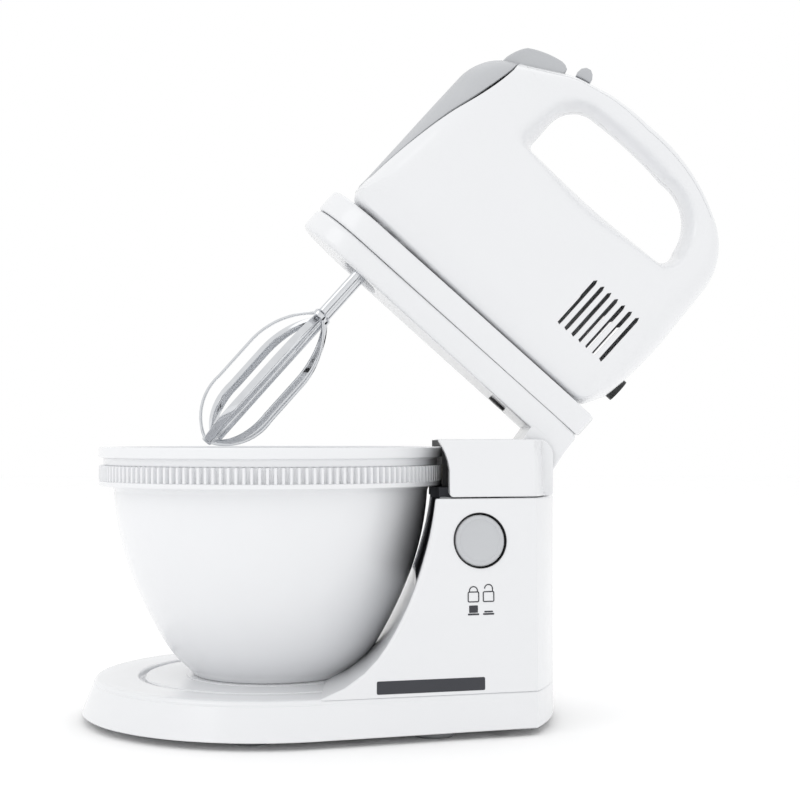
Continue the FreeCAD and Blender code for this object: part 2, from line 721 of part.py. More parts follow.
def mixer_shells():
    wall = s.thin_wall
    hole = pad(
        "finger_hole", "XZ", (-60, 60),
        (
            (27, 332, 29.4, 325.8), (27, 350), (50, 371, 33.6, 365), (108, 369.5, 80, 371.4),
            (146, 341, 136, 360.5), (138, 324, 146.4, 330.5), (36, 323),
        ),
    )
    block = common("mixer_block", mixer_side("side_view"), mixer_front("front_view"), mixer_plan("plan_view"))
    outer = cut("mixer_outer", block, hole)
    long_way = (s.nose_x + wall, s.tail_end_x - wall - 4)
    low_space = box("motor_space", long_way, (-50, 50), (s.arm_top_z + wall, 319.5))
    high_space = pad(
        "handle_space", "XZ", (-50, 50),
        (
            (-29, 319), (-29, 345), (10, 371), (20, 379.3), (43, 385.3), (78, 387.3, 60, 387.2),
            (138, 374, 110, 384), (138, 365.5), (108, 372.3, 124, 370.3), (50, 374, 80, 374.2),
            (24.5, 350, 31.5, 366), (24.5, 319),
        ),
    )
    rooms = fuse("mixer_rooms", low_space, high_space)
    space = common("mixer_space", rooms, mixer_front("front_view_in", wall), mixer_plan("plan_view_in", wall))
    knob_slot = pad("knob_slot", "XZ", (-4.6, 4.6), ((20.6, 370), (20.6, 395), (39.6, 400), (39.6, 375)))
    button_hole = box("button_hole", (42.4, 60.1), (-7.6, 7.6), (376, 400))
    lever_hole = box("lever_hole", (-24.6, 12.9), (-s.lever_half - 0.6, s.lever_half + 0.6), (342, 400))
    sockets = [rod(f"socket_hole_{sign}", "z", 9.5, (0, s.beater_y * sign, 210), 20) for sign in (-1, 1)]
    gland_hole = rod("gland_hole", "x", 8, (150, 0, 246), 60)
    vents = []
    for index in range(VENTS):
        x = 118 + index * 6
        vents.append(box(f"vent_{index}", (x, x + 2.6), (-60, 60), (246, 286)))
    openings = (knob_slot, button_hole, lever_hole, *sockets, gland_hole, *vents)
    hollow = cut("mixer_hollow", outer, space, *openings)

    trim_zone = pad(
        "trim_zone", "XZ", (-60, 60),
        (
            (-60, 222), (-36.4, 222), (-23.3, 306, -32, 262), (-14, 354.6, -17.6, 329), (-14, 367),
            (-60, 367),
        ),
    )
    strip_zone = pad(
        "strip_zone", "XZ", (-60, 60),
        (
            (-14, 359), (20, 377.5), (43, 383.3), (78, 385.3, 60, 385.2), (148, 369, 116, 381.8), (186, 369),
            (186, 420), (-14, 420),
        ),
    )
    node(common("trim_cut", hollow, trim_zone), "front_trim", on_head=True)
    node(common("strip_cut", hollow, strip_zone), "top_strip", on_head=True)
    body = cut("mixer_body", hollow, trim_zone, strip_zone)
    for side, span in (("near", (-60, 0)), ("far", (0, 60))):
        half = common(f"mixer_half_{side}", body, box(f"half_{side}", (-60, 200), span, (200, 420)))
        node(half, f"mixer_shell_{side}", on_head=True)


def mixer_controls():
    lever = pad(
        "lever_wedge", "XZ", (-s.lever_half, s.lever_half),
        (
            (-24, 352), (-24, 359.5), (-17.8, 374, -21.5, 367.5), (7.7, 383.2, -4.5, 380.4), (12.3, 381),
            (12.3, 375), (-16, 352),
        ),
    )
    node(lever, "eject_lever", on_head=True)
    fork = fuse(
        "fork_whole",
        box("fork_bar", (-3, 3), (-31, 31), (290, 294)),
        *[box(f"fork_leg_{sign}", (-3, 3), (sign * 8 - 2, sign * 8 + 2), (294, 358)) for sign in (-1, 1)],
    )
    lever_floor = pad("fork_trim", "XZ", (-40, 40), ((-16, 352), (12.3, 375), (12.3, 400), (-16, 400)))
    node(cut("fork_cut", fork, lever_floor), "eject_fork", on_head=True)
    knob = fuse(
        "knob_whole",
        pad("knob_grip", "XZ", (-s.knob_half, s.knob_half),
            ((17.5, 382.3), (18.3, 389.6), (25.6, 391.9, 21.2, 391.8), (30.2, 385.6))),
        pad("knob_stem", "XZ", (-4, 4), ((21.4, 376.5), (21.4, 385), (26.2, 385), (26.2, 377.8))),
    )
    node(knob, "speed_knob", on_head=True)
    button = fuse(
        "button_whole",
        pad("button_plate", "XZ", (-7, 7), ((43, 385.8), (43, 388.3), (59.5, 389.6), (59.5, 387.1))),
        box("button_stem", (50, 54), (-2, 2), (382.6, 387)),
    )
    node(button, "turbo_button", on_head=True)
    switch = box("switch_box", (46, 74), (-9, 9), (374.6, 381))
    node(group("switch_unit", switch), "speed_switch", on_head=True)
    board = box("board_plate", (100, 132), (-24, 24), (308, 309.6))
    node(group("board", board), "circuit_board", on_head=True)


FAN_BLADES = 9


def motor():
    z = s.motor_z
    stack = box("stack_block", (52, 88), (-28, 28), (z - 26, z + 26))
    bore = rod("stack_bore", "x", 16, (50, 0, z), 40)
    windows = [
        box(f"stack_window_{sign}", (50, 90), (-12, 12), (z + sign * 19 - 3.5, z + sign * 19 + 3.5))
        for sign in (-1, 1)
    ]
    node(cut("stack_cut", stack, bore, *windows), "motor_stator", on_head=True)
    shaft = fuse(
        "shaft_whole",
        rod("shaft_bar", "x", s.motor_shaft_rad, (-16, 0, z), 128),
        rod("worm_core", "x", 4.1, (-10, 0, z), 20),
    )
    node(shaft, "motor_shaft", on_head=True)
    threads = [ring_on_shaft(f"worm_thread_{index}", -8 + 2.1 * index, 1, 4.75, 4.1) for index in range(8)]
    node(group("worm_threads", *threads), "worm_thread", on_head=True)
    bar = s.motor_shaft_rad
    node(ring_on_shaft("armature_stack", 54, 32, 15, bar), "armature_core", on_head=True)
    node(ring_on_shaft("commutator_ring", 90, 10, 9, bar), "commutator", on_head=True)
    hub = ring_on_shaft("fan_hub", 33, 12, 6, bar)
    disc = ring_on_shaft("fan_disc", 33, 1.5, 24, bar)
    blades = []
    blade_x, blade_in, blade_out, blade_thick = 33.5, 5, 24, 1.4
    for index in range(FAN_BLADES):
        blade = doc.addObject("Part::Box", f"fan_blade_{index}")
        blade.Length, blade.Width, blade.Height = 10.5, blade_out - blade_in, blade_thick
        turn = FreeCAD.Rotation(FreeCAD.Vector(1, 0, 0), 360 / FAN_BLADES * index)
        start = FreeCAD.Vector(blade_x, blade_in, -blade_thick / 2)
        blade.Placement = FreeCAD.Placement(FreeCAD.Vector(0, 0, z.value) + turn.multVec(start), turn)
        blades.append(blade)
    node(fuse("fan_whole", hub, disc, *blades), "cooling_fan", on_head=True)
    for name, x in (("front", 17), ("rear", 104)):
        fit = s.motor_shaft_rad + s.run_fit
        node(ring_on_shaft(f"bearing_{name}_ring", x, 6, 8, fit), f"motor_bearing_{name}", on_head=True)
    brushes = [
        box(f"brush_{sign}", (92, 98), (14 * sign - 4.9, 14 * sign + 4.9), (z - 4, z + 4)) for sign in (-1, 1)
    ]
    node(group("brushes", *brushes), "brush_holders", on_head=True)
    posts = [
        box(f"frame_post_{x}_{y}", (x - 3, x + 3), (y - 3, y + 3), (s.arm_top_z + s.thin_wall, 248))
        for x in (-11, 20)
        for y in (-28, 28)
    ]
    floor = box("frame_floor", (-14, 24), (-37, 37), (248, 252))
    frame = fuse("frame_whole", floor, box("frame_wall", (17, 23), (-16, 16), (252, z + 14)), *posts)
    holes = [rod(f"frame_hole_{sign}", "z", 9, (0, s.beater_y * sign, 240), 20) for sign in (-1, 1)]
    bearing_seat = rod("frame_bore", "x", 8, (10, 0, z), 20)
    node(cut("frame_cut", frame, *holes, bearing_seat), "gearbox_frame", on_head=True)
    rear = cut(
        "rear_wall_cut", box("rear_wall", (104, 110), (-20, 20), (s.arm_top_z + s.thin_wall, z + 14)),
        rod("rear_wall_bore", "x", 8, (100, 0, z), 20),
    )
    node(rear, "rear_bearing_mount", on_head=True)


def ring_on_shaft(name, x, width, outer, inner):
    """One ring on the motor's shaft."""
    blank = rod(f"{name}_out", "x", outer, (x, 0, s.motor_z), width)
    return cut(name, blank, rod(f"{name}_in", "x", inner, (x - 1, 0, s.motor_z), width + 2))


def beaters():
    for name, sign in (("near", -1), ("far", 1)):
        y = s.beater_y * sign
        teeth = toothed_ring(
            f"wheel_{name}_teeth", s.wheel_module.value, int(s.wheel_teeth.value), 0, s.socket_rad.value - 1,
            (260, 272), (0.13, 0.21),
        )
        sleeve = rod(f"wheel_{name}_sleeve", "z", s.socket_rad, (0, 0, 232), 46)
        wheel = fuse(f"wheel_{name}_whole", teeth, sleeve)
        socket = rod(f"wheel_{name}_bore", "z", s.beater_shaft_rad + s.run_fit, (0, 0, 230), 40)
        node(cut(f"wheel_{name}_cut", wheel, socket), f"worm_wheel_{name}", on_head=True, at=(0, y, 0))
        fit = s.socket_rad + s.run_fit
        bush = turned(f"spindle_bush_{name}_ring", ((fit, 246), (9, 246), (9, 254), (fit, 254)))
        node(bush, f"spindle_bush_{name}", on_head=True, at=(0, y, 0))
        node(beater(name), f"beater_{name}", on_head=True, at=(0, y, 0))


def beater(name):
    r, low, top = s.beater_rad, s.beater_low_z, s.beater_top_z
    loops = []
    phase = FreeCAD.Rotation(FreeCAD.Vector(0, 0, 1), 45 if name == "far" else 0)
    for turn, plane in enumerate(("XZ", "YZ")):
        outer = pad(
            f"loop_{name}_{turn}", plane, (-2.4, 2.4),
            (
                (-3, low, -r + 5.5, 52), (3, low), (r, 76, r - 5.5, 52), (r, 104), (3, top, r - 6, 132),
                (-3, top), (-r, 104, -r + 6, 132), (-r, 76),
            ),
        )
        inner_r = r - 1.8
        space = pad(
            f"loop_space_{name}_{turn}", plane, (-3, 3),
            (
                (-2.5, low + 2.2, -inner_r + 5.6, 54.4), (2.5, low + 2.2),
                (inner_r, 77, inner_r - 5.6, 54.4), (inner_r, 103), (2.5, top - 3, inner_r - 6.4, 130),
                (-2.5, top - 3), (-inner_r, 103, -inner_r + 6.4, 130), (-inner_r, 77),
            ),
        )
        loop = cut(f"loop_{name}_{turn}_frame", outer, space)
        loop.Placement = FreeCAD.Placement(FreeCAD.Vector(), phase)
        loops.append(loop)
    shaft = rod(f"beater_shaft_{name}", "z", s.beater_shaft_rad, (0, 0, low + 0.5), 226)
    collar = rod(f"beater_collar_{name}", "z", 8, (0, 0, 207), 4)
    return fuse(f"beater_{name}_whole", shaft, collar, *loops)


def cord_gland():
    """The bushed hole that the mains lead comes through."""
    gland = cut(
        "gland_cut", rod("gland_body", "x", 8, (172, 0, 246), 9),
        rod("gland_bore", "x", 4, (160, 0, 246), 40),
    )
    node(gland, "cord_gland", on_head=True)


stand_housing()
bottom_plate()
feet()
turntable()
bowl()
bowl_drive()
front_panel()
neck_cover()
hinge()
lock()
arm()
mixer_shells()
mixer_controls()
motor()
beaters()
cord_gland()

doc.recompute()

# ---------------------------------------------------------------- check and write
failed = [item.Name for item in doc.Objects if {"Invalid", "Error"} & set(item.State)]
for name, thing in NODES:
    if thing.Shape.isNull() or not thing.Shape.isValid() or not thing.Shape.Solids:
        failed.append(name)
whole = Part.makeCompound([thing.Shape for _, thing in NODES]).BoundBox
print("nodes:", len(NODES), "box:", whole)
if failed:
    raise SystemExit(f"failed: {failed}")

os.makedirs("parts", exist_ok=True)
for name, thing in NODES:
    thing.Shape.exportStep(f"parts/{name}.step")
    print(f"{name}: {len(thing.Shape.Solids)} solid(s), {thing.Shape.Volume / 1000:.1f} cm3")
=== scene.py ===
# %% [markdown]
# # A stand mixer, shown with its head raised
#
# A hand mixer sits on an arm that tilts on a stand, over a bowl whose toothed rim a pinion turns. The
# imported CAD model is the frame: it says where every piece is and how it moves. This lesson builds the
# smooth moulded surfaces that a person sees, and gives each material the finish that its real process
# leaves.

# %% Load the frame
import json
import math

import bmesh
import bpy
import numpy as np
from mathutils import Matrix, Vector


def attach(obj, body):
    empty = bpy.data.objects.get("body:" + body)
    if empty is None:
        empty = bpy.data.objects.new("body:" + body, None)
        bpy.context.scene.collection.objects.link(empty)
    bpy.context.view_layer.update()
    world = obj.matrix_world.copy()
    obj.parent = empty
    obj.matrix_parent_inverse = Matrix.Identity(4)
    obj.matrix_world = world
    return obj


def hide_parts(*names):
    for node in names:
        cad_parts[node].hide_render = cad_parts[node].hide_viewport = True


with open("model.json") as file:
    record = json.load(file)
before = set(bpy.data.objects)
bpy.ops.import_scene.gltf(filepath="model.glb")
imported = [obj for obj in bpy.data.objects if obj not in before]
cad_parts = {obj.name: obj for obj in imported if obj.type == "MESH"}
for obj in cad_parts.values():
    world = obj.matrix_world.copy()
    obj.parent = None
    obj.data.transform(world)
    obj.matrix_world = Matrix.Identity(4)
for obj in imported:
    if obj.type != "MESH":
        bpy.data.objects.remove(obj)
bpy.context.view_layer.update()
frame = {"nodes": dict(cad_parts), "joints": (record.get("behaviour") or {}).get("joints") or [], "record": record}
record = frame["record"]

# %% [markdown]
# ## Two places to draw in
#
# The stand and the bowl are easiest to draw in millimetres from the bowl's own axis. The arm and the hand
# mixer are easiest to draw lowered, level over the bowl, and are then turned up about the hinge, as the
# real head is. The joints in the record say where the bowl's axis and the hinge are, so nothing is
# measured twice.

# %% Places, in millimetres from the bowl's axis
MM = 0.001
joints = {joint["name"]: joint for joint in frame["joints"]}
BOWL_X = joints["bowl_spin"]["pos_m"][0] / MM
HINGE_X = joints["head_tilt"]["pos_m"][0] / MM - BOWL_X
HINGE_Z = joints["head_tilt"]["pos_m"][2] / MM
TILT = math.radians(-joints["head_tilt"]["range_deg"][0])


def on_stand(points):
    """From millimetres about the bowl's axis to metres in the frame."""
    return (np.asarray(points, float) + (BOWL_X, 0, 0)) * MM


def on_head(points):
    """The same for a piece drawn lowered: it is first turned about the hinge by the tilt."""
    points = np.asarray(points, float)
    along, above = points[..., 0] - HINGE_X, points[..., 2] - HINGE_Z
    raised = np.stack(
        [
            HINGE_X + along * math.cos(TILT) + above * math.sin(TILT),
            points[..., 1],
            HINGE_Z - along * math.sin(TILT) + above * math.cos(TILT),
        ],
        axis=-1,
    )
    return on_stand(raised)


print(f"bowl axis {BOWL_X:.1f} mm, hinge {HINGE_X:.0f}, {HINGE_Z:.0f} mm")
print(f"tilt {math.degrees(TILT):.0f} degrees")

# %% [markdown]
# ## Floor, light and camera
#
# White plastic on a white floor shows its shape only by soft gradients. So one broad key light stands high
# on the left, a weaker one fills from the right, and a pale world keeps the shadows open. The camera is
# almost level, a metre away, and looks a little below the middle of the object.

# %% The node helper and colours
def linear(hex_colour):
    """sRGB hex to linear light: the dark end is divided by 12.92, the rest follows a power of 2.4."""
    share = np.array([int(hex_colour[i : i + 2], 16) for i in (0, 2, 4)]) / 255
    bright = np.where(share <= 0.04045, share / 12.92, ((share + 0.055) / 1.055) ** 2.4)
    return (*bright, 1.0)


def add_node(tree, kind, settings=None, links=None):
    """Adds one node, sets its properties and plain socket values, and links sockets from other nodes."""
    new = tree.nodes.new(kind)
    for name, value in (settings or {}).items():
        if name in new.inputs:
            new.inputs[name].default_value = value
        else:
            setattr(new, name, value)
    for name, source in (links or {}).items():
        tree.links.new(source, new.inputs[name])
    return new


print("mid grey in linear light:", round(linear("808080")[0], 3))

# %% Floor and world
world = bpy.data.worlds.new("studio")
world.use_nodes = True
world.node_tree.nodes["Background"].inputs["Color"].default_value = linear("ffffff")
world.node_tree.nodes["Background"].inputs["Strength"].default_value = 1.0
bpy.context.scene.world = world

FLOOR_HALF = 6.0
floor_mesh = bpy.data.meshes.new("floor")
corners = [(x * FLOOR_HALF, y * FLOOR_HALF, 0) for x, y in ((-1, -1), (1, -1), (1, 1), (-1, 1))]
floor_mesh.from_pydata(corners, [], [(0, 1, 2, 3)])
floor = bpy.data.objects.new("floor", floor_mesh)
bpy.context.scene.collection.objects.link(floor)
paper = bpy.data.materials.new("matt_white_paper")
paper.use_nodes = True
paper_shader = paper.node_tree.nodes["Principled BSDF"]
paper_shader.inputs["Base Color"].default_value = linear("ffffff")
paper_shader.inputs["Roughness"].default_value = 0.9
paper_shader.inputs["Specular IOR Level"].default_value = 0.1
floor_mesh.materials.append(paper)
print("floor half-width:", FLOOR_HALF, "m")


# %% Lights and camera
def area_light(name, place, target, size, watts, tint="ffffff"):
    """A square softbox at place, turned so that its face points at target."""
    lamp = bpy.data.lights.new(name, "AREA")
    lamp.shape, lamp.size, lamp.energy = "SQUARE", size, watts
    lamp.color = linear(tint)[:3]
    holder = bpy.data.objects.new(name, lamp)
    holder.location = place
    direction = np.array(target) - np.array(place)
    flat = math.hypot(direction[0], direction[1])
    swing = math.atan2(direction[1], direction[0]) - math.pi / 2
    holder.rotation_euler = (math.atan2(flat, -direction[2]), 0, swing)
    bpy.context.scene.collection.objects.link(holder)
    return holder


AIM = (0.0, 0.0, 0.2)
area_light("key_softbox", (-1.3, -1.2, 1.5), AIM, 1.1, 4)
area_light("fill_softbox", (1.5, -1.0, 0.7), AIM, 1.2, 0.6)
area_light("top_softbox", (0.2, 0.5, 1.9), AIM, 1.3, 3)

camera_data = bpy.data.cameras.new("camera")
camera_data.lens, camera_data.sensor_width = 67.0, 36.0
camera_data.shift_y = 0.0471
camera = bpy.data.objects.new("camera", camera_data)
camera.location = (BOWL_X * MM + 0.086, -1.0, 0.185)
camera.rotation_euler = (math.pi / 2, 0, 0)
bpy.context.scene.collection.objects.link(camera)
bpy.context.scene.camera = camera
bpy.context.scene.view_settings.view_transform = "Standard"
print("camera at", [round(v, 3) for v in camera.location])

# %% [markdown]
# ## Materials
#
# Nearly everything here is moulded plastic. What tells one moulding from another is the tool's surface:
# polished steel leaves gloss with a faint waviness, spark-eroded steel leaves a fine matt grain. Both are
# one recipe with different sizes: a noise for the tool's grain as bump, a broader noise for uneven gloss,
# and a trace of colour drift where the plastic flowed. Metals get the marks of their own process.

# %% Moulded plastics
FLOW_MM = 45


def moulded(name, colour, rough, grain_mm, grain_depth_mm, flow=0.02, coat=0.0, ior=1.53, specular=0.5):
    """Moulded plastic: grain_mm is the tool's grain, grain_depth_mm its height, flow the colour's drift."""
    made = bpy.data.materials.new(name)
    made.use_nodes = True
    tree = made.node_tree
    shader = tree.nodes["Principled BSDF"]
    place = add_node(tree, "ShaderNodeTexCoord").outputs["Object"]
    fine = add_node(
        tree, "ShaderNodeTexNoise",
        {"Scale": 1 / (grain_mm * MM), "Detail": 3.0, "Roughness": 0.6}, {"Vector": place},
    )
    broad = add_node(
        tree, "ShaderNodeTexNoise", {"Scale": 1 / (FLOW_MM * MM), "Detail": 2.0}, {"Vector": place}
    )
    base = linear(colour)
    darker = tuple(c * (1 - flow) for c in base[:3]) + (1.0,)
    drift = add_node(
        tree, "ShaderNodeMix", {"data_type": "RGBA", "blend_type": "MIX"}, {"Factor": broad.outputs["Fac"]}
    )
    drift.inputs[6].default_value, drift.inputs[7].default_value = base, darker
    gloss = add_node(
        tree, "ShaderNodeMapRange",
        {"To Min": rough * 0.85, "To Max": rough * 1.2}, {"Value": broad.outputs["Fac"]},
    )
    bump = add_node(
        tree, "ShaderNodeBump",
        {"Strength": 1.0, "Distance": grain_depth_mm * MM}, {"Height": fine.outputs["Fac"]},
    )
    tree.links.new(drift.outputs[2], shader.inputs["Base Color"])
    tree.links.new(gloss.outputs["Result"], shader.inputs["Roughness"])
    tree.links.new(bump.outputs["Normal"], shader.inputs["Normal"])
    shader.inputs["IOR"].default_value = ior
    shader.inputs["Specular IOR Level"].default_value = specular
    shader.inputs["Coat Weight"].default_value = coat
    shader.inputs["Coat Roughness"].default_value = 0.08
    return made


# %% Turned, drawn and stacked metals
def worked_metal(name, colour, rough, mark_mm, depth_mm, stretch=(1, 1, 1)):
    """Metal with fine tool marks: a noise stretched along the marks, in bump and in roughness."""
    made = bpy.data.materials.new(name)
    made.use_nodes = True
    tree = made.node_tree
    shader = tree.nodes["Principled BSDF"]
    place = add_node(tree, "ShaderNodeTexCoord").outputs["Object"]
    turned = add_node(tree, "ShaderNodeMapping", {"Scale": stretch}, {"Vector": place})
    marks = add_node(
        tree, "ShaderNodeTexNoise",
        {"Scale": 1 / (mark_mm * MM), "Detail": 4.0}, {"Vector": turned.outputs["Vector"]},
    )
    gloss = add_node(
        tree, "ShaderNodeMapRange",
        {"To Min": rough * 0.7, "To Max": rough * 1.4}, {"Value": marks.outputs["Fac"]},
    )
    tone = add_node(tree, "ShaderNodeValToRGB", {}, {"Fac": marks.outputs["Fac"]})
    base = linear(colour)
    tone.color_ramp.elements[0].color = tuple(c * 0.86 for c in base[:3]) + (1.0,)
    tone.color_ramp.elements[1].color = base
    bump = add_node(tree, "ShaderNodeBump", {"Distance": depth_mm * MM}, {"Height": marks.outputs["Fac"]})
    tree.links.new(tone.outputs["Color"], shader.inputs["Base Color"])
    tree.links.new(gloss.outputs["Result"], shader.inputs["Roughness"])
    tree.links.new(bump.outputs["Normal"], shader.inputs["Normal"])
    shader.inputs["Metallic"].default_value = 1.0
    return made


# %% One material for each of the record's slots
finishes = {
    "white_abs": moulded("polished_white_ABS", "e7e8ea", 0.24, 1.6, 0.006, coat=0.25),
    "bowl_white": moulded("glossy_white_polypropylene", "eaebed", 0.2, 2.2, 0.008, ior=1.49, coat=0.2),
    "grey_trim": moulded("spark_grained_grey_ABS", "b9bbbe", 0.42, 0.5, 0.02, flow=0.03),
    "light_grey": moulded("satin_light_grey_ABS", "c3c5c8", 0.38, 0.6, 0.015, flow=0.03),
    "dark_grey": moulded("satin_dark_grey_ABS", "4b4c50", 0.4, 0.6, 0.02, flow=0.05, specular=0.0),
    "black_plastic": moulded("matt_black_nylon", "17181a", 0.5, 0.5, 0.02, flow=0.1),
    "natural_nylon": moulded("natural_nylon", "e6e0cc", 0.4, 0.8, 0.01, flow=0.04),
    "rubber": moulded("moulded_grey_rubber", "8d8f92", 0.75, 0.4, 0.03, flow=0.06, ior=1.5),
    "circuit_green": moulded("solder_mask_on_glass_epoxy", "1f5c36", 0.35, 0.9, 0.01, flow=0.1),
    "chromed_wire": worked_metal("chromed_steel", "dcdee1", 0.1, 6.0, 0.0002),
    "shaft_steel": worked_metal("turned_steel", "b9bcc0", 0.3, 0.6, 0.006, (4, 1, 1)),
    "sintered_bronze": worked_metal("sintered_bronze", "a98352", 0.45, 0.4, 0.012),
    "iron_laminations": worked_metal("stacked_iron_laminations", "74767a", 0.5, 0.5, 0.03, (8, 0.5, 0.5)),
    "copper": worked_metal("turned_copper", "c9825a", 0.3, 0.5, 0.006, (6, 1, 1)),
}
slot_of = {part["node"]: part["material_slot"] for part in record["subparts"]}
body_of = {node: body for body, nodes in record["behaviour"]["bodies"].items() for node in nodes}
for node, piece in frame["nodes"].items():
    piece.data.materials.clear()
    piece.data.materials.append(finishes[slot_of[node]])
print("finishes:", len(finishes), "slots used:", len(set(slot_of.values())))

# %% [markdown]
# ## Surfaces from numbers
#
# Every piece below is a grid of points with two directions: along a profile and around it. Numpy works out
# the whole grid at once. A row that shrinks to one point is a pole and is merged, and a closed skin then
# has its faces turned outwards, so that a thickness or an export never finds it inside out.

# %% Grid to mesh
def skin(name, points, wrap_u=False, wrap_v=False, close=True, sharp_degrees=32):
    """Joins neighbouring points of a (u, v, 3) grid into quads. Wrap joins the last row to the first."""
    u, v = points.shape[:2]
    index = np.arange(u * v).reshape(u, v)
    rows = np.vstack([index, index[:1]]) if wrap_u else index
    grid = np.hstack([rows, rows[:, :1]]) if wrap_v else rows
    quads = np.stack([grid[:-1, :-1], grid[1:, :-1], grid[1:, 1:], grid[:-1, 1:]], axis=-1).reshape(-1, 4)
    mesh = bpy.data.meshes.new(name)
    mesh.from_pydata(points.reshape(-1, 3), [], quads.tolist())
    return settle(bpy.data.objects.new(name, mesh), close, sharp_degrees)


def settle(piece, close=True, sharp_degrees=32):
    """Merges points that meet, turns the faces outwards and shades smooth across small angles."""
    work = bmesh.new()
    work.from_mesh(piece.data)
    bmesh.ops.remove_doubles(work, verts=work.verts, dist=2e-6)
    bmesh.ops.dissolve_degenerate(work, dist=1e-6, edges=work.edges)
    if close:
        bmesh.ops.recalc_face_normals(work, faces=work.faces)
    work.to_mesh(piece.data)
    work.free()
    piece.data.shade_smooth()
    piece.data.set_sharp_from_angle(angle=math.radians(sharp_degrees))
    if piece.name not in bpy.context.scene.collection.objects:
        bpy.context.scene.collection.objects.link(piece)
    return piece


def join(name, pieces):
    """One piece from several closed skins that touch, as one moulding."""
    work = bmesh.new()
    for piece in pieces:
        work.from_mesh(piece.data)
    mesh = bpy.data.meshes.new(name)
    work.to_mesh(mesh)
    work.free()
    for piece in pieces:
        bpy.data.objects.remove(piece)
    whole = bpy.data.objects.new(name, mesh)
    bpy.context.scene.collection.objects.link(whole)
    mesh.set_sharp_from_angle(angle=math.radians(32))
    return whole


def finish_as(piece, *nodes, slot=None, body=None):
    """The piece takes the first node's finish and body and stands for all of them."""
    if nodes:
        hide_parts(*nodes)
    slot = slot or slot_of[nodes[0]]
    piece.data.materials.clear()
    piece.data.materials.append(finishes[slot])
    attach(piece, body or body_of[nodes[0]])
    print(f"{piece.name}: {len(piece.data.polygons)} faces")
    return piece


# %% Curves in a plane
def arc(start, middle, finish, count=12):
    """Points on the circle through three points, from start to finish by way of the middle one."""
    (ax, ay), (bx, by), (cx, cy) = start, middle, finish
    d = 2 * (ax * (by - cy) + bx * (cy - ay) + cx * (ay - by))
    a2, b2, c2 = ax * ax + ay * ay, bx * bx + by * by, cx * cx + cy * cy
    x = (a2 * (by - cy) + b2 * (cy - ay) + c2 * (ay - by)) / d
    y = (a2 * (cx - bx) + b2 * (ax - cx) + c2 * (bx - ax)) / d
    angles = np.unwrap([math.atan2(ay - y, ax - x), math.atan2(by - y, bx - x), math.atan2(cy - y, cx - x)])
    swept = np.linspace(angles[0], angles[2], count)
    radius = math.hypot(ax - x, ay - y)
    return np.stack([x + radius * np.cos(swept), y + radius * np.sin(swept)], axis=-1)


def outline(*parts):
    """One list of points from single corners and runs of points, without repeats."""
    points = np.vstack([np.atleast_2d(np.asarray(part, float)) for part in parts])
    keep = np.r_[True, np.linalg.norm(np.diff(points, axis=0), axis=1) > 1e-6]
    return points[keep]


def rounded(points, radius, closed=True, steps=5):
    """Each corner that turns more than 12 degrees is cut back by the radius and replaced by a smooth bend: a
    quadratic curve from one cut to the other, with the corner as its control point."""
    points = np.asarray(points, float)
    before, after = np.roll(points, 1, axis=0), np.roll(points, -1, axis=0)
    back, on = before - points, after - points
    back_long, on_long = np.linalg.norm(back, axis=1), np.linalg.norm(on, axis=1)
    back, on = back / np.maximum(back_long, 1e-9)[:, None], on / np.maximum(on_long, 1e-9)[:, None]
    turn = np.degrees(np.arccos(np.clip(-(back * on).sum(axis=1), -1, 1)))
    cut_by = np.minimum(radius, 0.45 * np.minimum(back_long, on_long))
    t = np.linspace(0, 1, steps)[:, None]
    result = []
    for i, point in enumerate(points):
        is_end = not closed and i in (0, len(points) - 1)
        if turn[i] < 12 or is_end:
            result.append(point[None])
        else:
            first, last = point + back[i] * cut_by[i], point + on[i] * cut_by[i]
            result.append((1 - t) ** 2 * first + 2 * t * (1 - t) * point + t**2 * last)
    return np.vstack(result)


# %% Even spacing
def even(line, count):
    """The same open line with evenly spaced points."""
    step = np.r_[0, np.cumsum(np.linalg.norm(np.diff(line, axis=0), axis=1))]
    wanted = np.linspace(0, step[-1], count)
    return np.stack([np.interp(wanted, step, line[:, 0]), np.interp(wanted, step, line[:, 1])], axis=-1)


def dense(line, step=1.0):
    """The closed outline with points about a step apart."""
    closed = np.vstack([line, line[:1]])
    long = np.linalg.norm(np.diff(closed, axis=0), axis=1).sum()
    return even(closed, int(long / step))[:-1]


# %% Turned pieces
def lathe(name, profile, turns=160, place=on_stand, frame_of=None):
    """A closed profile of (radius, height) points carried round Z, or round any axis: frame_of is
    (centre, axis, side), and a point is centre + axis*height + radius*(side*cos + across*sin)."""
    profile = np.asarray(profile, float)
    angle = np.linspace(0, 2 * math.pi, turns, endpoint=False)
    centre, axis, side = frame_of or ((0, 0, 0), (0, 0, 1), (1, 0, 0))
    axis, side = np.array(axis, float), np.array(side, float)
    across = np.cross(axis, side)
    around = side * np.cos(angle)[:, None] + across * np.sin(angle)[:, None]
    points = centre + axis * profile[:, None, 1:2] + around[None] * profile[:, None, 0:1]
    closes = np.abs(profile[0] - profile[-1]).max() > 1e-9 and min(profile[0, 0], profile[-1, 0]) > 1e-9
    return skin(name, place(points), wrap_u=closes, wrap_v=True)


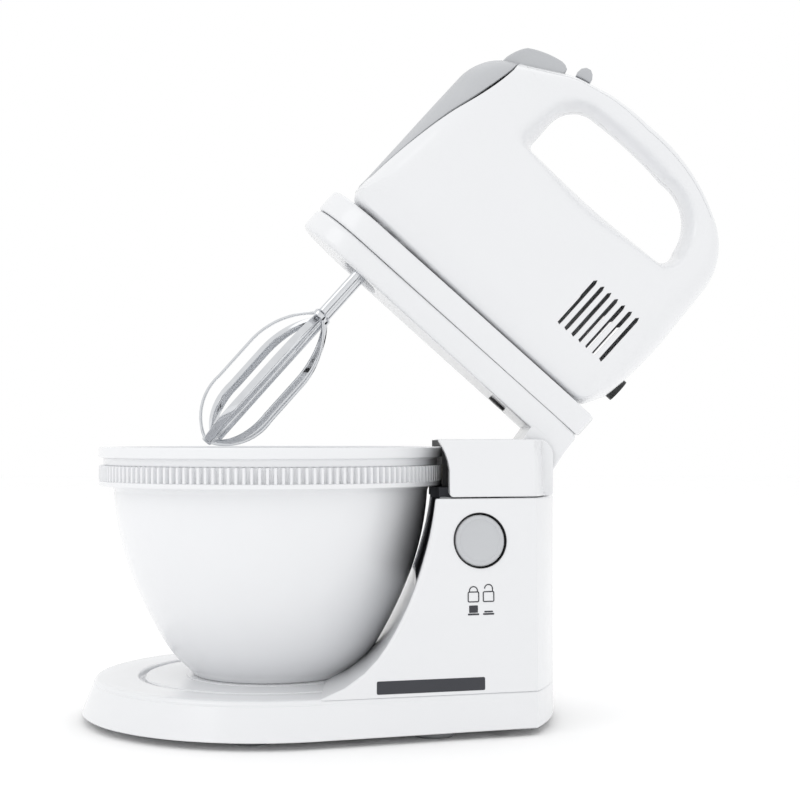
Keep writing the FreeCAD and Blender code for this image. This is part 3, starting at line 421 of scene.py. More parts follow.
# %% Slabs
def slab(name, edge_line, low, high, bevel, plane="XZ", place=on_stand, step=3.0, rings=7):
    """A closed plate: an outline in one plane, from low to high across it, with rounded edges. Low and high
    are numbers or functions of the outline's plane. The rim's profile is a quarter circle of the bevel's
    radius at each edge. The faces shrink to their middle in equal steps. Step is the points' spacing."""
    line = dense(np.asarray(edge_line, float), step)
    ahead, behind = np.roll(line, -1, axis=0), np.roll(line, 1, axis=0)
    along = ahead - behind
    along /= np.maximum(np.linalg.norm(along, axis=1), 1e-9)[:, None]
    area = (line[:, 0] * ahead[:, 1] - ahead[:, 0] * line[:, 1]).sum()
    inward = np.stack([-along[:, 1], along[:, 0]], axis=-1) * (1 if area > 0 else -1)
    middle = line.mean(axis=0)
    quarter = np.linspace(0, math.pi / 2, 6)
    rows, depths = [], []
    for share in np.linspace(0, 1, rings + 1)[:-1]:
        rows.append(middle + (line + inward * bevel - middle) * share)
        depths.append((0, 0.0))
    for angle in quarter:
        rows.append(line + inward * bevel * (1 - math.sin(angle)))
        depths.append((0, bevel * (1 - math.cos(angle))))
    for angle in quarter[::-1]:
        rows.append(line + inward * bevel * (1 - math.sin(angle)))
        depths.append((1, -bevel * (1 - math.cos(angle))))
    for share in np.linspace(1, 0, rings + 1)[1:]:
        rows.append(middle + (line + inward * bevel - middle) * share)
        depths.append((1, 0.0))
    flat = np.array(rows)
    a, b = flat[..., 0], flat[..., 1]
    level = [
        (high if top else low)(a[i], b[i]) + more if callable(high if top else low)
        else np.full_like(a[i], (high if top else low) + more)
        for i, (top, more) in enumerate(depths)
    ]
    c = np.array(level)
    stacked = {"XZ": (a, c, b), "XY": (a, b, c), "YZ": (c, a, b)}[plane]
    return skin(name, place(np.stack(stacked, axis=-1)), wrap_v=True)


# %% [markdown]
# ## The bowl and its toothed ring
#
# The bowl is moulded polypropylene, turned about its own axis, with a curved wall and a wide rim that
# carries 150 flat teeth. A lathe surface gives the bowl. The ring is the same idea with a radius that
# steps in and out with the angle, which is cheaper and cleaner than 150 separate teeth.

# %% Bowl
bowl_line = outline(
    (0, 30), (46, 30), (46, 28), (52, 28), arc((55, 32), (65.6, 42.6), (73.9, 55)),
    arc((73.9, 55), (84.1, 74.5), (92.4, 94)), arc((92.4, 94), (100.4, 121.5), (104.3, 150.6)),
    (106, 153.7), (106, 167), (111, 167), (111, 172), (114.3, 172), (114.3, 179), (108.6, 179),
    (108.6, 169.4), (103.6, 167), (103.6, 155), arc((101.9, 150.6), (98, 121.5), (90, 94)),
    arc((90, 94), (81.8, 74.9), (71.5, 56.8)), arc((71.5, 56.8), (63.2, 44), (52, 34.5)), (46, 32.4),
    (0, 32.4),
)
bowl = lathe("mixing_bowl", rounded(bowl_line, 1.3, closed=False), 224)
finish_as(bowl, "bowl")

# %% Toothed ring
TEETH, PITCH_RAD, MODULE = 150, 112.5, 1.5
tip, root = PITCH_RAD + MODULE, PITCH_RAD - 1.25 * MODULE
pitch_angle = 2 * math.pi / TEETH
tip_half, root_half = 0.17 * math.pi * MODULE / tip, 0.28 * math.pi * MODULE / root
half_flank = np.array([tip_half * 0.9, tip_half * 1.05, root_half * 0.94, root_half])
flank = np.concatenate([-half_flank[::-1], half_flank])
reach = np.array([root, root + 0.12, tip - 0.25, tip, tip, tip - 0.25, root + 0.12, root])
angle = (np.arange(TEETH)[:, None] * pitch_angle + flank).ravel()
tooth_reach = np.tile(reach, TEETH)
ring_rows = (
    (106.0, 153.7, 0), (tip - 0.6, 153.7, 0), (tip, 154.3, 0), (tip, 156.6, 0), (tip - 0.4, 157, 0),
    (None, 157, 0), (None, 157.2, 0), (None, 166.4, 0), (None, 167, 0.6), (106.0, 167, 0),
)
radius = np.array([[at] * len(angle) if at else tooth_reach - less for at, _, less in ring_rows])
height = np.repeat(np.array([row[1] for row in ring_rows])[:, None], len(angle), axis=1)
ring_points = np.stack([radius * np.cos(angle), radius * np.sin(angle), height], axis=-1)
ring = skin("toothed_bowl_ring", on_stand(ring_points), wrap_u=True, wrap_v=True, sharp_degrees=28)
finish_as(ring, "bowl_gear_ring")

# %% [markdown]
# ## The stand
#
# The base and the column are one white moulding. Seen from above, it is round in front, has straight sides
# that taper to the tail, and a gently bulging back. Each height has such a plan, and the plans change
# evenly with height, so the surface is the plan's outline carried up the stand.

# %% The stand's plan
TAIL_X, BULGE = 172.0, 16.0
DECK_Z, COLUMN_TOP, NECK_TOP = 28, 147, 184
FOOT_RAD, FOOT_HALF = 116, 74
TOP_RAD, TOP_HALF = 104, 60
NECK_TAPER = 5


def tail_curve(half, count=25):
    """The back's arc, through (TAIL_X, -half), (TAIL_X + BULGE, 0) and (TAIL_X, half)."""
    return arc((TAIL_X, -half), (TAIL_X + BULGE, 0), (TAIL_X, half), count)


def touch_point(radius, half):
    """Where a straight side from the tail's corner touches the round front."""
    reach = math.hypot(TAIL_X, half)
    bend = math.atan2(half, TAIL_X) + math.acos(radius / reach)
    return radius * math.cos(bend), radius * math.sin(bend)


def plan(radius, half, inset=0.0, corner=5.0):
    """The closed plan from the middle of the back, far side first: back, side, round front, side, back."""
    radius, half = radius - inset, half - inset
    x, y = touch_point(radius, half)
    front = math.atan2(y, x)
    sweep = np.linspace(front, 2 * math.pi - front, 97)
    round_front = np.stack([radius * np.cos(sweep), radius * np.sin(sweep)], axis=-1)
    back = tail_curve(half)
    back = back - (inset, 0)
    far, near = back[12:], back[:13]
    side = even(np.array([back[-1], (x, y)]), 31)
    bend = rounded(np.vstack([far[-3:], side[:3]]), corner, closed=False, steps=7)
    mirror = bend[::-1] * (1, -1)
    return np.vstack([
        far[:-3], bend, side[3:-1], round_front, side[3:-1][::-1] * (1, -1), mirror, near[3:-1],
    ])


def side_y(x, z):
    """How far the column's or neck's side stands from the middle plane: a straight line from the touch point
    to the tail's corner, both moving in evenly with height."""
    x, z = np.asarray(x, float), np.asarray(z, float)
    share = np.clip((z - DECK_Z) / (COLUMN_TOP - DECK_Z), -0.3, 1)
    low = [touch_point(FOOT_RAD, FOOT_HALF), (TAIL_X, FOOT_HALF)]
    high = [touch_point(TOP_RAD, TOP_HALF), (TAIL_X, TOP_HALF)]
    (ax, ay), (bx, by) = [
        (p[0] + (q[0] - p[0]) * share, p[1] + (q[1] - p[1]) * share) for p, q in zip(low, high)
    ]
    neck = np.clip((z - COLUMN_TOP) / (NECK_TOP - COLUMN_TOP), 0, 1)
    return ay + (x - ax) * (by - ay) / (bx - ax) - NECK_TAPER * neck


print("points in a plan:", len(plan(FOOT_RAD, FOOT_HALF)))


# %% Base
deck = plan(FOOT_RAD, FOOT_HALF)
recess_angle = np.arctan2(deck[:, 1], deck[:, 0] - 20)


def circle(radius):
    """A circle about the bowl's axis with as many points as the plan."""
    return np.stack([radius * np.cos(recess_angle), radius * np.sin(recess_angle)], axis=-1)


quarter = np.linspace(0, math.pi / 2, 7)
base_rows = [(plan(125, 77, 3), 5.0), (plan(125, 77, 0.6), 5.0), (plan(124.8, 76.9), 5.6)]
base_rows += [(plan(125 - 9 * t, 77 - 3 * t), 5 + 23 * t) for t in np.linspace(0.06, 0.86, 9)]
base_rows += [(plan(116.4, 74.2, 2.6 * (1 - math.cos(q))), 25.4 + 2.6 * math.sin(q)) for q in quarter]
base_rows += [(deck * (1 - t) + circle(90) * t, 28.0) for t in (0.35, 0.7)]
base_rows += [(circle(88 + 1.5 * (1 - math.sin(q))), 28 - 1.5 * (1 - math.cos(q))) for q in quarter]
base_rows += [(circle(88), 24.5), (circle(87), 23.5), (circle(11), 23.5), (circle(11), 20.5)]
base_rows += [(circle(91), 20.5)]
base_rows += [(circle(91), 25.0), (plan(116, 74, 3), 25.0)]
base_points = np.array([np.column_stack([line, np.full(len(line), z)]) for line, z in base_rows])
base = skin("base_moulding", on_stand(base_points), wrap_u=True, wrap_v=True)
print("base rows:", len(base_rows))


# %% Column
WINDOW_HALF = 72.8
FRONT_CURVE = outline(
    (38, 28), arc((38, 28), (61, 39.5), (76, 55)), arc((76, 55), (83.9, 68), (90.4, 81)),
    arc((90.4, 81), (95.7, 94), (100.7, 110)), arc((100.7, 110), (105.4, 129), (108, 147)),
)


def column_front_x(z):
    """The front edge's x at a height, from the side view's curve."""
    return np.interp(z, FRONT_CURVE[:, 1], FRONT_CURVE[:, 0])


def column_row(z, inset=0.0, recess=0.0):
    """The column's closed plan: across the front, back along a side, round the back and forward again. The
    middle of the front steps back by the recess, which is the window of the dark panel."""
    x0 = float(column_front_x(z)) + inset
    share = (z - DECK_Z) / (COLUMN_TOP - DECK_Z)
    half = FOOT_HALF + (TOP_HALF - FOOT_HALF) * share - inset
    y0 = float(side_y(x0, z)) - inset
    front = np.array([(x0 + recess, 0), (x0 + recess, WINDOW_HALF * 0.5), (x0 + recess, WINDOW_HALF - 0.1),
                      (x0, WINDOW_HALF)])
    back = tail_curve(half) - (inset, 0)
    along_side = (x0 + 12, float(side_y(x0 + 12, z)) - inset)
    corner = rounded(np.array([(x0, WINDOW_HALF), (x0, y0), along_side]), 3.5, False, 7)
    side = even(np.array([corner[-1], back[-1]]), 24)
    bend = rounded(np.vstack([side[-3:], back[-3:][::-1]]), 5, closed=False, steps=7)
    half_line = np.vstack([front[:-1], corner[:-1], side[:-3], bend, back[12:-3][::-1]])
    return np.vstack([half_line, half_line[1:-1][::-1] * (1, -1)])


WINDOW_LOW, WINDOW_DEEP = 92.0, 3.4
column_levels = [28.0, 34, 42, 50, 58, 66, 74, 83, 91.9, WINDOW_LOW, 100, 108, 116, 124, 132, 140, 145.2]
column_rows = [(column_row(27.6), 27.6)]
column_rows += [(column_row(z, recess=WINDOW_DEEP if z >= WINDOW_LOW else 0.0), z) for z in column_levels]
column_rows += [
    (column_row(145.4 + 0.6 * math.sin(q), 1.2 * (1 - math.cos(q)), WINDOW_DEEP), 145.4 + 1.6 * math.sin(q))
    for q in quarter
]
column_rows += [(column_row(146.0, 12), 147.0), (column_row(146.0, 12), 140.0)]
column_points = np.array([np.column_stack([line, np.full(len(line), z)]) for line, z in column_rows])
cap_low, cap_high = column_points[:1].copy(), column_points[-1:].copy()
cap_low[:] = column_points[0].mean(axis=0)
cap_high[:] = column_points[-1].mean(axis=0)
column = skin("column_moulding", on_stand(np.vstack([cap_low, column_points, cap_high])), wrap_v=True)
print("column rows:", len(column_rows))

# %% [markdown]
# ## The lock button's seat
#
# The button sits in a round hole in the column's near side. A hole through a finished skin is the one
# thing that a grid can't do well, so a cutter the size of the hole is taken away from the column with a
# Boolean.

# %% Cut the button's hole
lock_joint = joints["lock_press"]
LOCK_OUT = -np.array(lock_joint["axis"], float)
LOCK_OUT /= np.linalg.norm(LOCK_OUT)
LOCK_SIDE = np.cross((0, 0, 1), LOCK_OUT)
LOCK_SIDE /= np.linalg.norm(LOCK_SIDE)
LOCK_AT = np.array((136.0, -73.2, 121.0))
LOCK_FRAME = (LOCK_AT, LOCK_OUT, LOCK_SIDE)


def cut_away(piece, *cutters):
    """Takes closed cutters away from the piece and makes the result its mesh."""
    for cutter in cutters:
        change = piece.modifiers.new("cut", "BOOLEAN")
        change.operation, change.solver, change.object = "DIFFERENCE", "EXACT", cutter
    bpy.context.view_layer.update()
    result = bpy.data.meshes.new_from_object(piece.evaluated_get(bpy.context.evaluated_depsgraph_get()))
    piece.modifiers.clear()
    piece.data = result
    for cutter in cutters:
        bpy.data.objects.remove(cutter)
    piece.data.shade_smooth()
    piece.data.set_sharp_from_angle(angle=math.radians(32))
    return piece


hole = lathe("hole_cutter", [(0, -17), (17.4, -17), (17.4, 12), (0, 12)], 96, frame_of=LOCK_FRAME)
cut_away(column, hole)
stand = join("stand_moulding", [base, column])
finish_as(stand, "stand_housing")

# %% Lock cup and button
cup_line = outline((4.6, -15), (17.4, -15), (17.4, 0), (17.1, 0.35), (16.95, 0.1), (16.9, -13), (4.6, -13))
cup = lathe("lock_button_cup", cup_line, 96, frame_of=LOCK_FRAME)
finish_as(cup, "lock_cup")
cap_line = outline(
    (0, -7), (16.2, -7), arc((16.2, -1.6), (15.85, -0.75), (15.0, -0.4), 6), (13.3, -0.4), (12.9, -0.85),
    arc((12.5, -1.0), (6.6, -2.3), (0, -2.75), 14),
)
button = lathe("lock_button_cap", cap_line, 96, frame_of=LOCK_FRAME)
finish_as(button, "lock_button")

# %% [markdown]
# ## The neck cover
#
# Above a dark seam, the neck cover's two cheeks hide the hinge. Each cheek is a thick plate: its side view
# gives the outline, its inner face is flat beside the arm, and its outer face follows the column's taper.
# A small black wing follows the ring's curve beside the gear housing at the far side, so that no daylight
# shows there.

# %% Cheeks and rear floor of the neck
neck_line = outline(
    (117, 147.9), arc((117, 165), (114.6, 174.5), (109.4, 184), 5), (176, 184),
    arc((178, 183.6), (182.6, 179.4), (184.2, 172), 9), (184.2, 147.9),
)


CHEEK_INSIDE, CHEEK_LEAST, TAIL_DRAW = 43.5, 46.0, 46


def neck_outside(x, z):
    """The side's taper, drawn in at the tail so that it meets the bulging back."""
    tail = np.clip((np.asarray(x) - TAIL_X) / BULGE, 0, 1)
    return np.maximum(side_y(x, z) - TAIL_DRAW * tail**1.3, CHEEK_LEAST)


def cheek_inside(x, z):
    """The flat face beside the arm."""
    return np.full_like(x, CHEEK_INSIDE)


cheek_edge = rounded(neck_line, 2.5)
far_cheek = slab("cheek_far", cheek_edge, cheek_inside, neck_outside, 1.1, step=1.5, rings=30)
near_cheek = slab(
    "cheek_near", cheek_edge, lambda x, z: -neck_outside(x, z), lambda x, z: -cheek_inside(x, z), 1.1,
    step=1.5, rings=30,
)
floor_line = rounded(outline((144, -44), arc((176, -44), (186, 0), (176, 44)), (144, 44)), 1.5)
rear_floor = slab("neck_floor", floor_line, 147.6, 149.3, 0.5, plane="XY")
neck = join("neck_cover_moulding", [far_cheek, near_cheek, rear_floor])
finish_as(neck, "neck_cover")

# %% The gear housing's wing
WING_RAD, WING_BACK = 116.5, 116.7
wing_turn = np.radians(np.linspace(12.9, 21.6, 8))
wing_line = outline(
    *[(WING_RAD * math.cos(t), WING_RAD * math.sin(t)) for t in wing_turn],
    (WING_BACK, WING_RAD * math.sin(wing_turn[-1])), (WING_BACK, WING_RAD * math.sin(wing_turn[0])),
)
wing = slab("gear_housing_wing", wing_line, 153.2, 183.3, 0.2, plane="XY", step=1.0)
finish_as(wing, slot="black_plastic", body="stand")

# %% [markdown]
# ## The arm
#
# The arm is two shallow shells, one over the other, with a long slot for the beater shafts. A ring between
# two outlines has no ends: it runs from the slot's edge up over the top, down the outside and back
# underneath.

# %% Rays from a middle point
def reach_of(line, middle, angles):
    """How far a closed outline is from the middle point along each angle, interpolated round the outline."""
    offset = np.asarray(line, float) - middle
    there = np.arctan2(offset[:, 1], offset[:, 0])
    order = np.argsort(there)
    there, offset = there[order], np.linalg.norm(offset, axis=1)[order]
    return np.interp(angles, there, offset, period=2 * math.pi)


def ring_slab(name, inner, outer, low, high, bevel, place, count=220):
    """A flat ring between two outlines in plan, with edges rounded by the bevel's radius."""
    angles = np.linspace(-math.pi, math.pi, count, endpoint=False)
    direction = np.stack([np.cos(angles), np.sin(angles)], axis=-1)
    near_by = reach_of(dense(inner, 0.5), (0, 0), angles)[:, None]
    far_off = reach_of(dense(outer), (0, 0), angles)[:, None]
    q = np.linspace(0, math.pi / 2, 6)
    rows = [(near_by + bevel * (1 - np.sin(a)), low + bevel * (1 - math.cos(a))) for a in q]
    rows += [(near_by + bevel * (1 - np.sin(a)), high - bevel * (1 - math.cos(a))) for a in q[::-1]]
    rows += [(near_by + bevel + (far_off - near_by - 2 * bevel) * t, high) for t in (0.33, 0.66)]
    rows += [(far_off - bevel * (1 - np.sin(a)), high - bevel * (1 - math.cos(a))) for a in q]
    rows += [(far_off - bevel * (1 - np.sin(a)), low + bevel * (1 - math.cos(a))) for a in q[::-1]]
    rows += [(near_by + bevel + (far_off - near_by - 2 * bevel) * t, low) for t in (0.66, 0.33)]
    points = [np.column_stack([direction * reach, np.full(count, z)]) for reach, z in rows]
    return skin(name, place(np.array(points)), wrap_u=True, wrap_v=True)


# %% Arm shells
ARM_HALF, ARM_NOSE, ARM_TAIL = 42.5, -50.0, 178.0
nose_x = ARM_NOSE + ARM_HALF
arm_plan = outline(arc((nose_x, ARM_HALF), (ARM_NOSE, 0), (nose_x, -ARM_HALF), 41), (ARM_TAIL, -ARM_HALF),
                   (ARM_TAIL, ARM_HALF))
slot_plan = outline(arc((13, 21), (0, 34), (-13, 21), 17), arc((-13, -21), (0, -34), (13, -21), 17))
arm_plan = rounded(arm_plan, 7)
arm_top = ring_slab("arm_top_shell", slot_plan, arm_plan, 202.15, 218, 2.2, on_head)
finish_as(arm_top, "arm_upper")
under = ring_slab("arm_under", slot_plan, arm_plan, 186, 201.85, 3.5, on_head)
tongue_line = rounded(outline(
    (151, 186.5), (151, 201), (177, 201), (178, 188), arc((182, 164), (168, 150.1), (154.1, 164), 21),
), 2)
tongue = slab("arm_tongue", tongue_line, -42.4, 42.4, 1.2, place=on_head)
arm_low = join("arm_lower_shell", [under, tongue])
finish_as(arm_low, "arm_lower")

# %% [markdown]
# ## The hand mixer
#
# The hand mixer is a ring round its own finger opening: a deep motor housing below, a slim handle above, a
# nose and a tail. So one surface can be all of it. Rays go out from the middle of the opening. On each ray
# the body runs from the opening's edge to the outside edge, and its half-width follows the front view:
# wide at the motor, narrow at the handle. Near both ends of the ray it closes as a superellipse, width =
# (1 - (1 - t)^n)^(1/n), which is nearly flat on the sides and round at the edges.

# %% Side view and half-width
MIDDLE = np.array((85.0, 346.0))
side_line = outline(
    (-33, 218), (-38.5, 226), (-38.5, 331), arc((-38.5, 331), (-35.6, 343.5), (-28, 355)), (-24, 358.5),
    (12.7, 379.5), (20, 382.5), (43, 388.5), arc((43, 388.5), (60, 390.4), (78, 390.5)),
    arc((78, 390.5), (118, 386.8), (150, 374)), arc((150, 374), (170.6, 356), (178, 330)),
    (180, 290), arc((180, 290), (179.4, 262), (176, 236)), (166, 218),
)
opening_line = outline(
    (27, 332), (27, 350), arc((27, 350), (33.6, 365), (50, 371)), arc((50, 371), (80, 371.4), (108, 369.5)),
    arc((108, 369.5), (136, 360.5), (146, 341)), arc((146, 341), (146.4, 330.5), (138, 324)), (36, 323),
    arc((36, 323), (29.4, 325.8), (27, 332)),
)
side_line, opening_line = dense(rounded(side_line, 7)), dense(rounded(opening_line, 4))
WIDTH_Z = (200, 218, 224, 232, 292, 311, 325, 341, 352, 363, 375, 420)
WIDTH_Y = (34, 35.5, 40.5, 43, 43, 40.2, 33.5, 25.8, 21.2, 19, 18, 18)
fine_z = np.linspace(200, 420, 441)
soft_y = np.convolve(np.interp(fine_z, WIDTH_Z, WIDTH_Y), np.ones(25) / 25, mode="same")
soft_y[:13], soft_y[-13:] = 34, 18


def half_width(z):
    """The front view's half-width at a height, smoothed over 12 mm."""
    return np.interp(z, fine_z, soft_y)


def rounding(angles, reach):
    """How deep the outer edge's rounding goes: one bell curve of the angle deepens it at the nose and
    another at the tail, and a smooth step in height makes it shallow where the mixer meets the arm."""
    nose = np.exp(-(((np.degrees(angles) % 360) - 200) / 34) ** 2)
    tail = np.exp(-((((np.degrees(angles) + 180) % 360) - 180 + 22) / 30) ** 2)
    low = np.clip((238 - MIDDLE[1] - reach * np.sin(angles)) / 18, 0, 1)
    return (11 + 25 * nose + 21 * tail) * (1 - 0.7 * low**2 * (3 - 2 * low))


# %% The surface, and the pieces that share it
STEPS = 260
strip_from = math.atan2(372 - MIDDLE[1], 152 - MIDDLE[0])
strip_to = math.atan2(364.2 - MIDDLE[1], -14 - MIDDLE[0])
trim_to = 2 * math.pi + math.atan2(223.5 - MIDDLE[1], -36.6 - MIDDLE[0])
angles = np.linspace(strip_from, strip_from + 2 * math.pi, STEPS, endpoint=False)
eps = 2e-4
angles = np.sort(np.concatenate([angles, [strip_to - eps, strip_to + eps, trim_to - eps, trim_to + eps]]))
trim_edge = outline((-36.4, 215), arc((-36.4, 222), (-32, 262), (-23.3, 306), 40),
                    arc((-23.3, 306), (-17.6, 329), (-14, 354.6), 40), (-14, 372))
outer = reach_of(side_line, MIDDLE, angles)
inner = reach_of(opening_line, MIDDLE, angles)
trim_reach = reach_of(trim_edge, MIDDLE, angles)
in_strip = angles < strip_to
in_trim = (angles > strip_to) & (angles < trim_to)
band = np.where(in_trim, np.clip(outer - trim_reach, 1.6, 26), 5.2)
N_OUT, N_IN, GAP = 2.6, 2.2, 0.03
deep = rounding(angles, outer)
hole_deep = 9 + 8 * np.clip((np.sin(-angles) + 0.2), 0, 1)
squeeze = np.minimum(1, 0.96 * (outer - inner) / (deep + hole_deep))
deep, hole_deep = deep * squeeze, hole_deep * squeeze
band = np.minimum(band, deep * 0.93)


def section(reach, share):
    """Points at a distance along each ray, with y = the share of the half-width there."""
    x = MIDDLE[0] + reach * np.cos(angles)
    z = MIDDLE[1] + reach * np.sin(angles)
    return np.stack([x, half_width(z) * share, z], axis=-1)


def mixer_rows(low, high, count):
    """Rows of the outer rounding from angle low to high: 0 is the outside edge and 90 degrees is the side."""
    rows = []
    for t in np.linspace(0, 1, count):
        bend = low + (high - low) * t
        rows.append(section(outer - deep * (1 - np.cos(bend) ** (2 / N_OUT)), np.sin(bend) ** (2 / N_OUT)))
    return rows


edge_bend = np.arccos(np.clip(1 - band / deep, 0, 1) ** (N_OUT / 2))
print("rays:", len(angles), "of which trim and strip:", int((in_strip | in_trim).sum()))


def thicken(piece, thickness_mm, bevel_mm=0.35):
    """Gives an open skin its wall, inwards, and rounds the rim a little, then makes both real."""
    wall = piece.modifiers.new("wall", "SOLIDIFY")
    wall.thickness, wall.offset, wall.use_even_offset = thickness_mm * MM, -1, False
    soft = piece.modifiers.new("soft_rim", "BEVEL")
    soft.width, soft.segments = bevel_mm * MM, 2
    soft.limit_method, soft.angle_limit = "ANGLE", math.radians(55)
    bpy.context.view_layer.update()
    result = bpy.data.meshes.new_from_object(piece.evaluated_get(bpy.context.evaluated_depsgraph_get()))
    piece.modifiers.clear()
    piece.data = result
    piece.data.shade_smooth()
    piece.data.set_sharp_from_angle(angle=math.radians(35))
    return piece


def facing_out(piece, inside):
    """Turns an open skin's faces away from a point inside it."""
    work = bmesh.new()
    work.from_mesh(piece.data)
    bmesh.ops.recalc_face_normals(work, faces=work.faces)
    outward = sum(
        (face.calc_center_median() - inside).dot(face.normal) * face.calc_area() for face in work.faces
    )
    if outward < 0:
        bmesh.ops.reverse_faces(work, faces=work.faces)
    work.to_mesh(piece.data)
    work.free()
    return piece


# %% [markdown]
# The whole surface is cut into the real mouldings along its own grid lines: a grey band over the nose, a
# white strip along the top, and a near and a far shell that meet in the middle plane. Neighbours stay a
# hair apart, so that the parting lines show as they do on a real mixer.

# %% Shells, strip and trim
in_band = in_strip | in_trim
gap = np.where(in_band, GAP, 0.0)
shell_rows = mixer_rows(edge_bend + gap, np.full_like(edge_bend, math.pi / 2), 11)
for t in np.linspace(0, 1, 8)[1:-1]:
    shell_rows.append(section(outer - deep - (outer - deep - inner - hole_deep) * t, 1.0))
for bend in np.linspace(math.pi / 2, 0.0, 12):
    closing = hole_deep * (1 - np.cos(bend) ** (2 / N_IN))
    shell_rows.append(section(inner + closing, np.sin(bend) ** (2 / N_IN)))
shell_rows = np.array(shell_rows)
tail_band = np.array(mixer_rows(0 * edge_bend, edge_bend, 9))
band_rows = np.array(mixer_rows(0 * edge_bend, edge_bend - gap, 9))
first, last = np.flatnonzero(~in_band)[[0, -1]]
SEAM = 0.12


def half_shell(name, sign):
    """One side of the mixer: side and opening all round, and the outside edge where no trim covers it."""
    edge = np.concatenate([tail_band[:, first - 1 : last + 1], tail_band[:, :1]], axis=1)
    sides = skin(f"{name}_sides", on_head(off_middle(shell_rows, sign)), wrap_v=True, close=False)
    tail = skin(f"{name}_tail", on_head(off_middle(edge, sign)), close=False)
    whole = settle(join(name, [sides, tail]), close=False)
    facing_out(whole, inside_point(sign))
    return thicken(whole, 2.2)


def off_middle(points, sign):
    """The same grid on one side, kept off the middle plane by half the seam."""
    moved = points.copy()
    moved[..., 1] = sign * np.maximum(points[..., 1], SEAM)
    return moved


def inside_point(sign):
    """A point well inside the motor housing on one side."""
    return Vector(on_head([70.0, 22.0 * sign, 270.0]))


def band_piece(name, chosen):
    """The grey or white band over the outside edge, from one side across to the other."""
    grid = band_rows[:, chosen]
    across = np.concatenate([grid[::-1] * (1, -1, 1), grid[1:]], axis=0)
    piece = skin(name, on_head(across), close=False)
    facing_out(piece, inside_point(0))
    return thicken(piece, 2.0)


near = half_shell("mixer_near_shell", -1)
far = half_shell("mixer_far_shell", 1)
strip = band_piece("top_handle_strip", in_strip)
trim = band_piece("nose_trim_band", in_trim)

# %% Vents, lever hole and knob slot
VENTS, VENT_PITCH, VENT_WIDE = 7, 6, 2.6


def vent_cutters(name, low, high):
    """Seven upright slots side by side, from low to high across the mixer."""
    slots = []
    for i in range(VENTS):
        x = 118 + VENT_PITCH * i
        line = rounded(outline((x, 247), (x + VENT_WIDE, 247), (x + VENT_WIDE, 285), (x, 285)), 1.2)
        slots.append(slab(f"{name}_{i}", line, low, high, 0.2, place=on_head))
    return join(name, slots)


cut_away(near, vent_cutters("near_vents", -60, -30))
cut_away(far, vent_cutters("far_vents", 30, 60))
lever_room = rounded(outline((-24.7, 340), (-24.7, 400), (13.0, 400), (13.0, 340)), 0.5)
knob_room = rounded(outline((20.6, 372), (20.6, 398), (39.6, 402), (39.6, 374)), 0.5)
plate_room = outline((42.6, 378), (42.6, 400), (59.9, 400), (59.9, 379))
cut_away(trim, slab("lever_cut_a", lever_room, -11.6, 11.6, 0.4, place=on_head))
cut_away(strip, slab("lever_cut_b", lever_room, -11.6, 11.6, 0.4, place=on_head),
         slab("knob_cut", knob_room, -4.7, 4.7, 0.4, place=on_head),
         slab("plate_cut", plate_room, -7.4, 7.4, 0.3, place=on_head))
finish_as(near, "mixer_shell_near")
finish_as(far, "mixer_shell_far")
finish_as(strip, "top_strip")
finish_as(trim, "front_trim")

# %% Lever, knob and boost plate
lever_line = rounded(outline(
    (-24, 352), (-24, 359.5), arc((-24, 359.5), (-21.5, 367.5), (-17.8, 374)),
    arc((-17.8, 374), (-4.5, 380.4), (7.7, 383.2)), (12.3, 381), (12.3, 375), (-16, 352)), 1.2)
lever = slab("beater_eject_lever", lever_line, -11, 11, 1.6, place=on_head)
finish_as(lever, "eject_lever")
knob_line = rounded(outline((17.5, 382.3), (18.3, 389.6), arc((18.3, 389.6), (21.2, 391.8), (25.6, 391.9)),
                            (30.2, 385.6)), 1.2)
knob_grip = slab("knob_grip", knob_line, -8, 8, 1.3, place=on_head)
stem_line = outline((21.4, 376.5), (21.4, 385), (26.2, 385), (26.2, 377.8))
knob_stem = slab("knob_stem", stem_line, -4, 4, 0.3, place=on_head)
finish_as(join("speed_slide_knob", [knob_grip, knob_stem]), "speed_knob")
plate_line = rounded(outline((43, 385.9), (43, 388.3), (59.5, 389.6), (59.5, 387.2)), 0.6)
plate = slab("boost_plate", plate_line, -7, 7, 0.6, place=on_head)
post_line = outline((50, 382.6), (54, 382.6), (54, 387), (50, 387))
plate_stem = slab("boost_stem", post_line, -2, 2, 0.3, place=on_head)
finish_as(join("boost_button_plate", [plate, plate_stem]), "turbo_button")

# %% [markdown]
# ## The beaters
#
# Each beater is two closed loops of flat chromed strip, crossed at right angles on a round shaft. A strip
# is a small rounded section carried along the loop's line, always square to it.

# %% Beater loops
STRIP_THICK, STRIP_WIDE = 1.8, 4.8


def strip_loop(name, line, thick, wide, turn, place):
    """A closed line of (radius, height) points in the plane at the given turn about Z, thickened to thick
    across the line in that plane and wide across the plane, with a superellipse section."""
    line = np.asarray(line, float)
    along = np.roll(line, -1, axis=0) - np.roll(line, 1, axis=0)
    along /= np.linalg.norm(along, axis=1)[:, None]
    across = np.stack([-along[:, 1], along[:, 0]], axis=-1)
    t = np.linspace(0, 2 * math.pi, 12, endpoint=False) + math.pi / 12
    a = thick / 2 * np.sign(np.cos(t)) * np.abs(np.cos(t)) ** 0.5
    b = wide / 2 * np.sign(np.sin(t)) * np.abs(np.sin(t)) ** 0.5
    flat = line[:, None] + across[:, None] * a[None, :, None]
    reach, height = flat[..., 0], flat[..., 1]
    wide_by = np.broadcast_to(b, reach.shape)
    x = reach * math.cos(turn) - wide_by * math.sin(turn)
    y = reach * math.sin(turn) + wide_by * math.cos(turn)
    return skin(name, place(np.stack([x, y, height], axis=-1)), wrap_u=True, wrap_v=True)


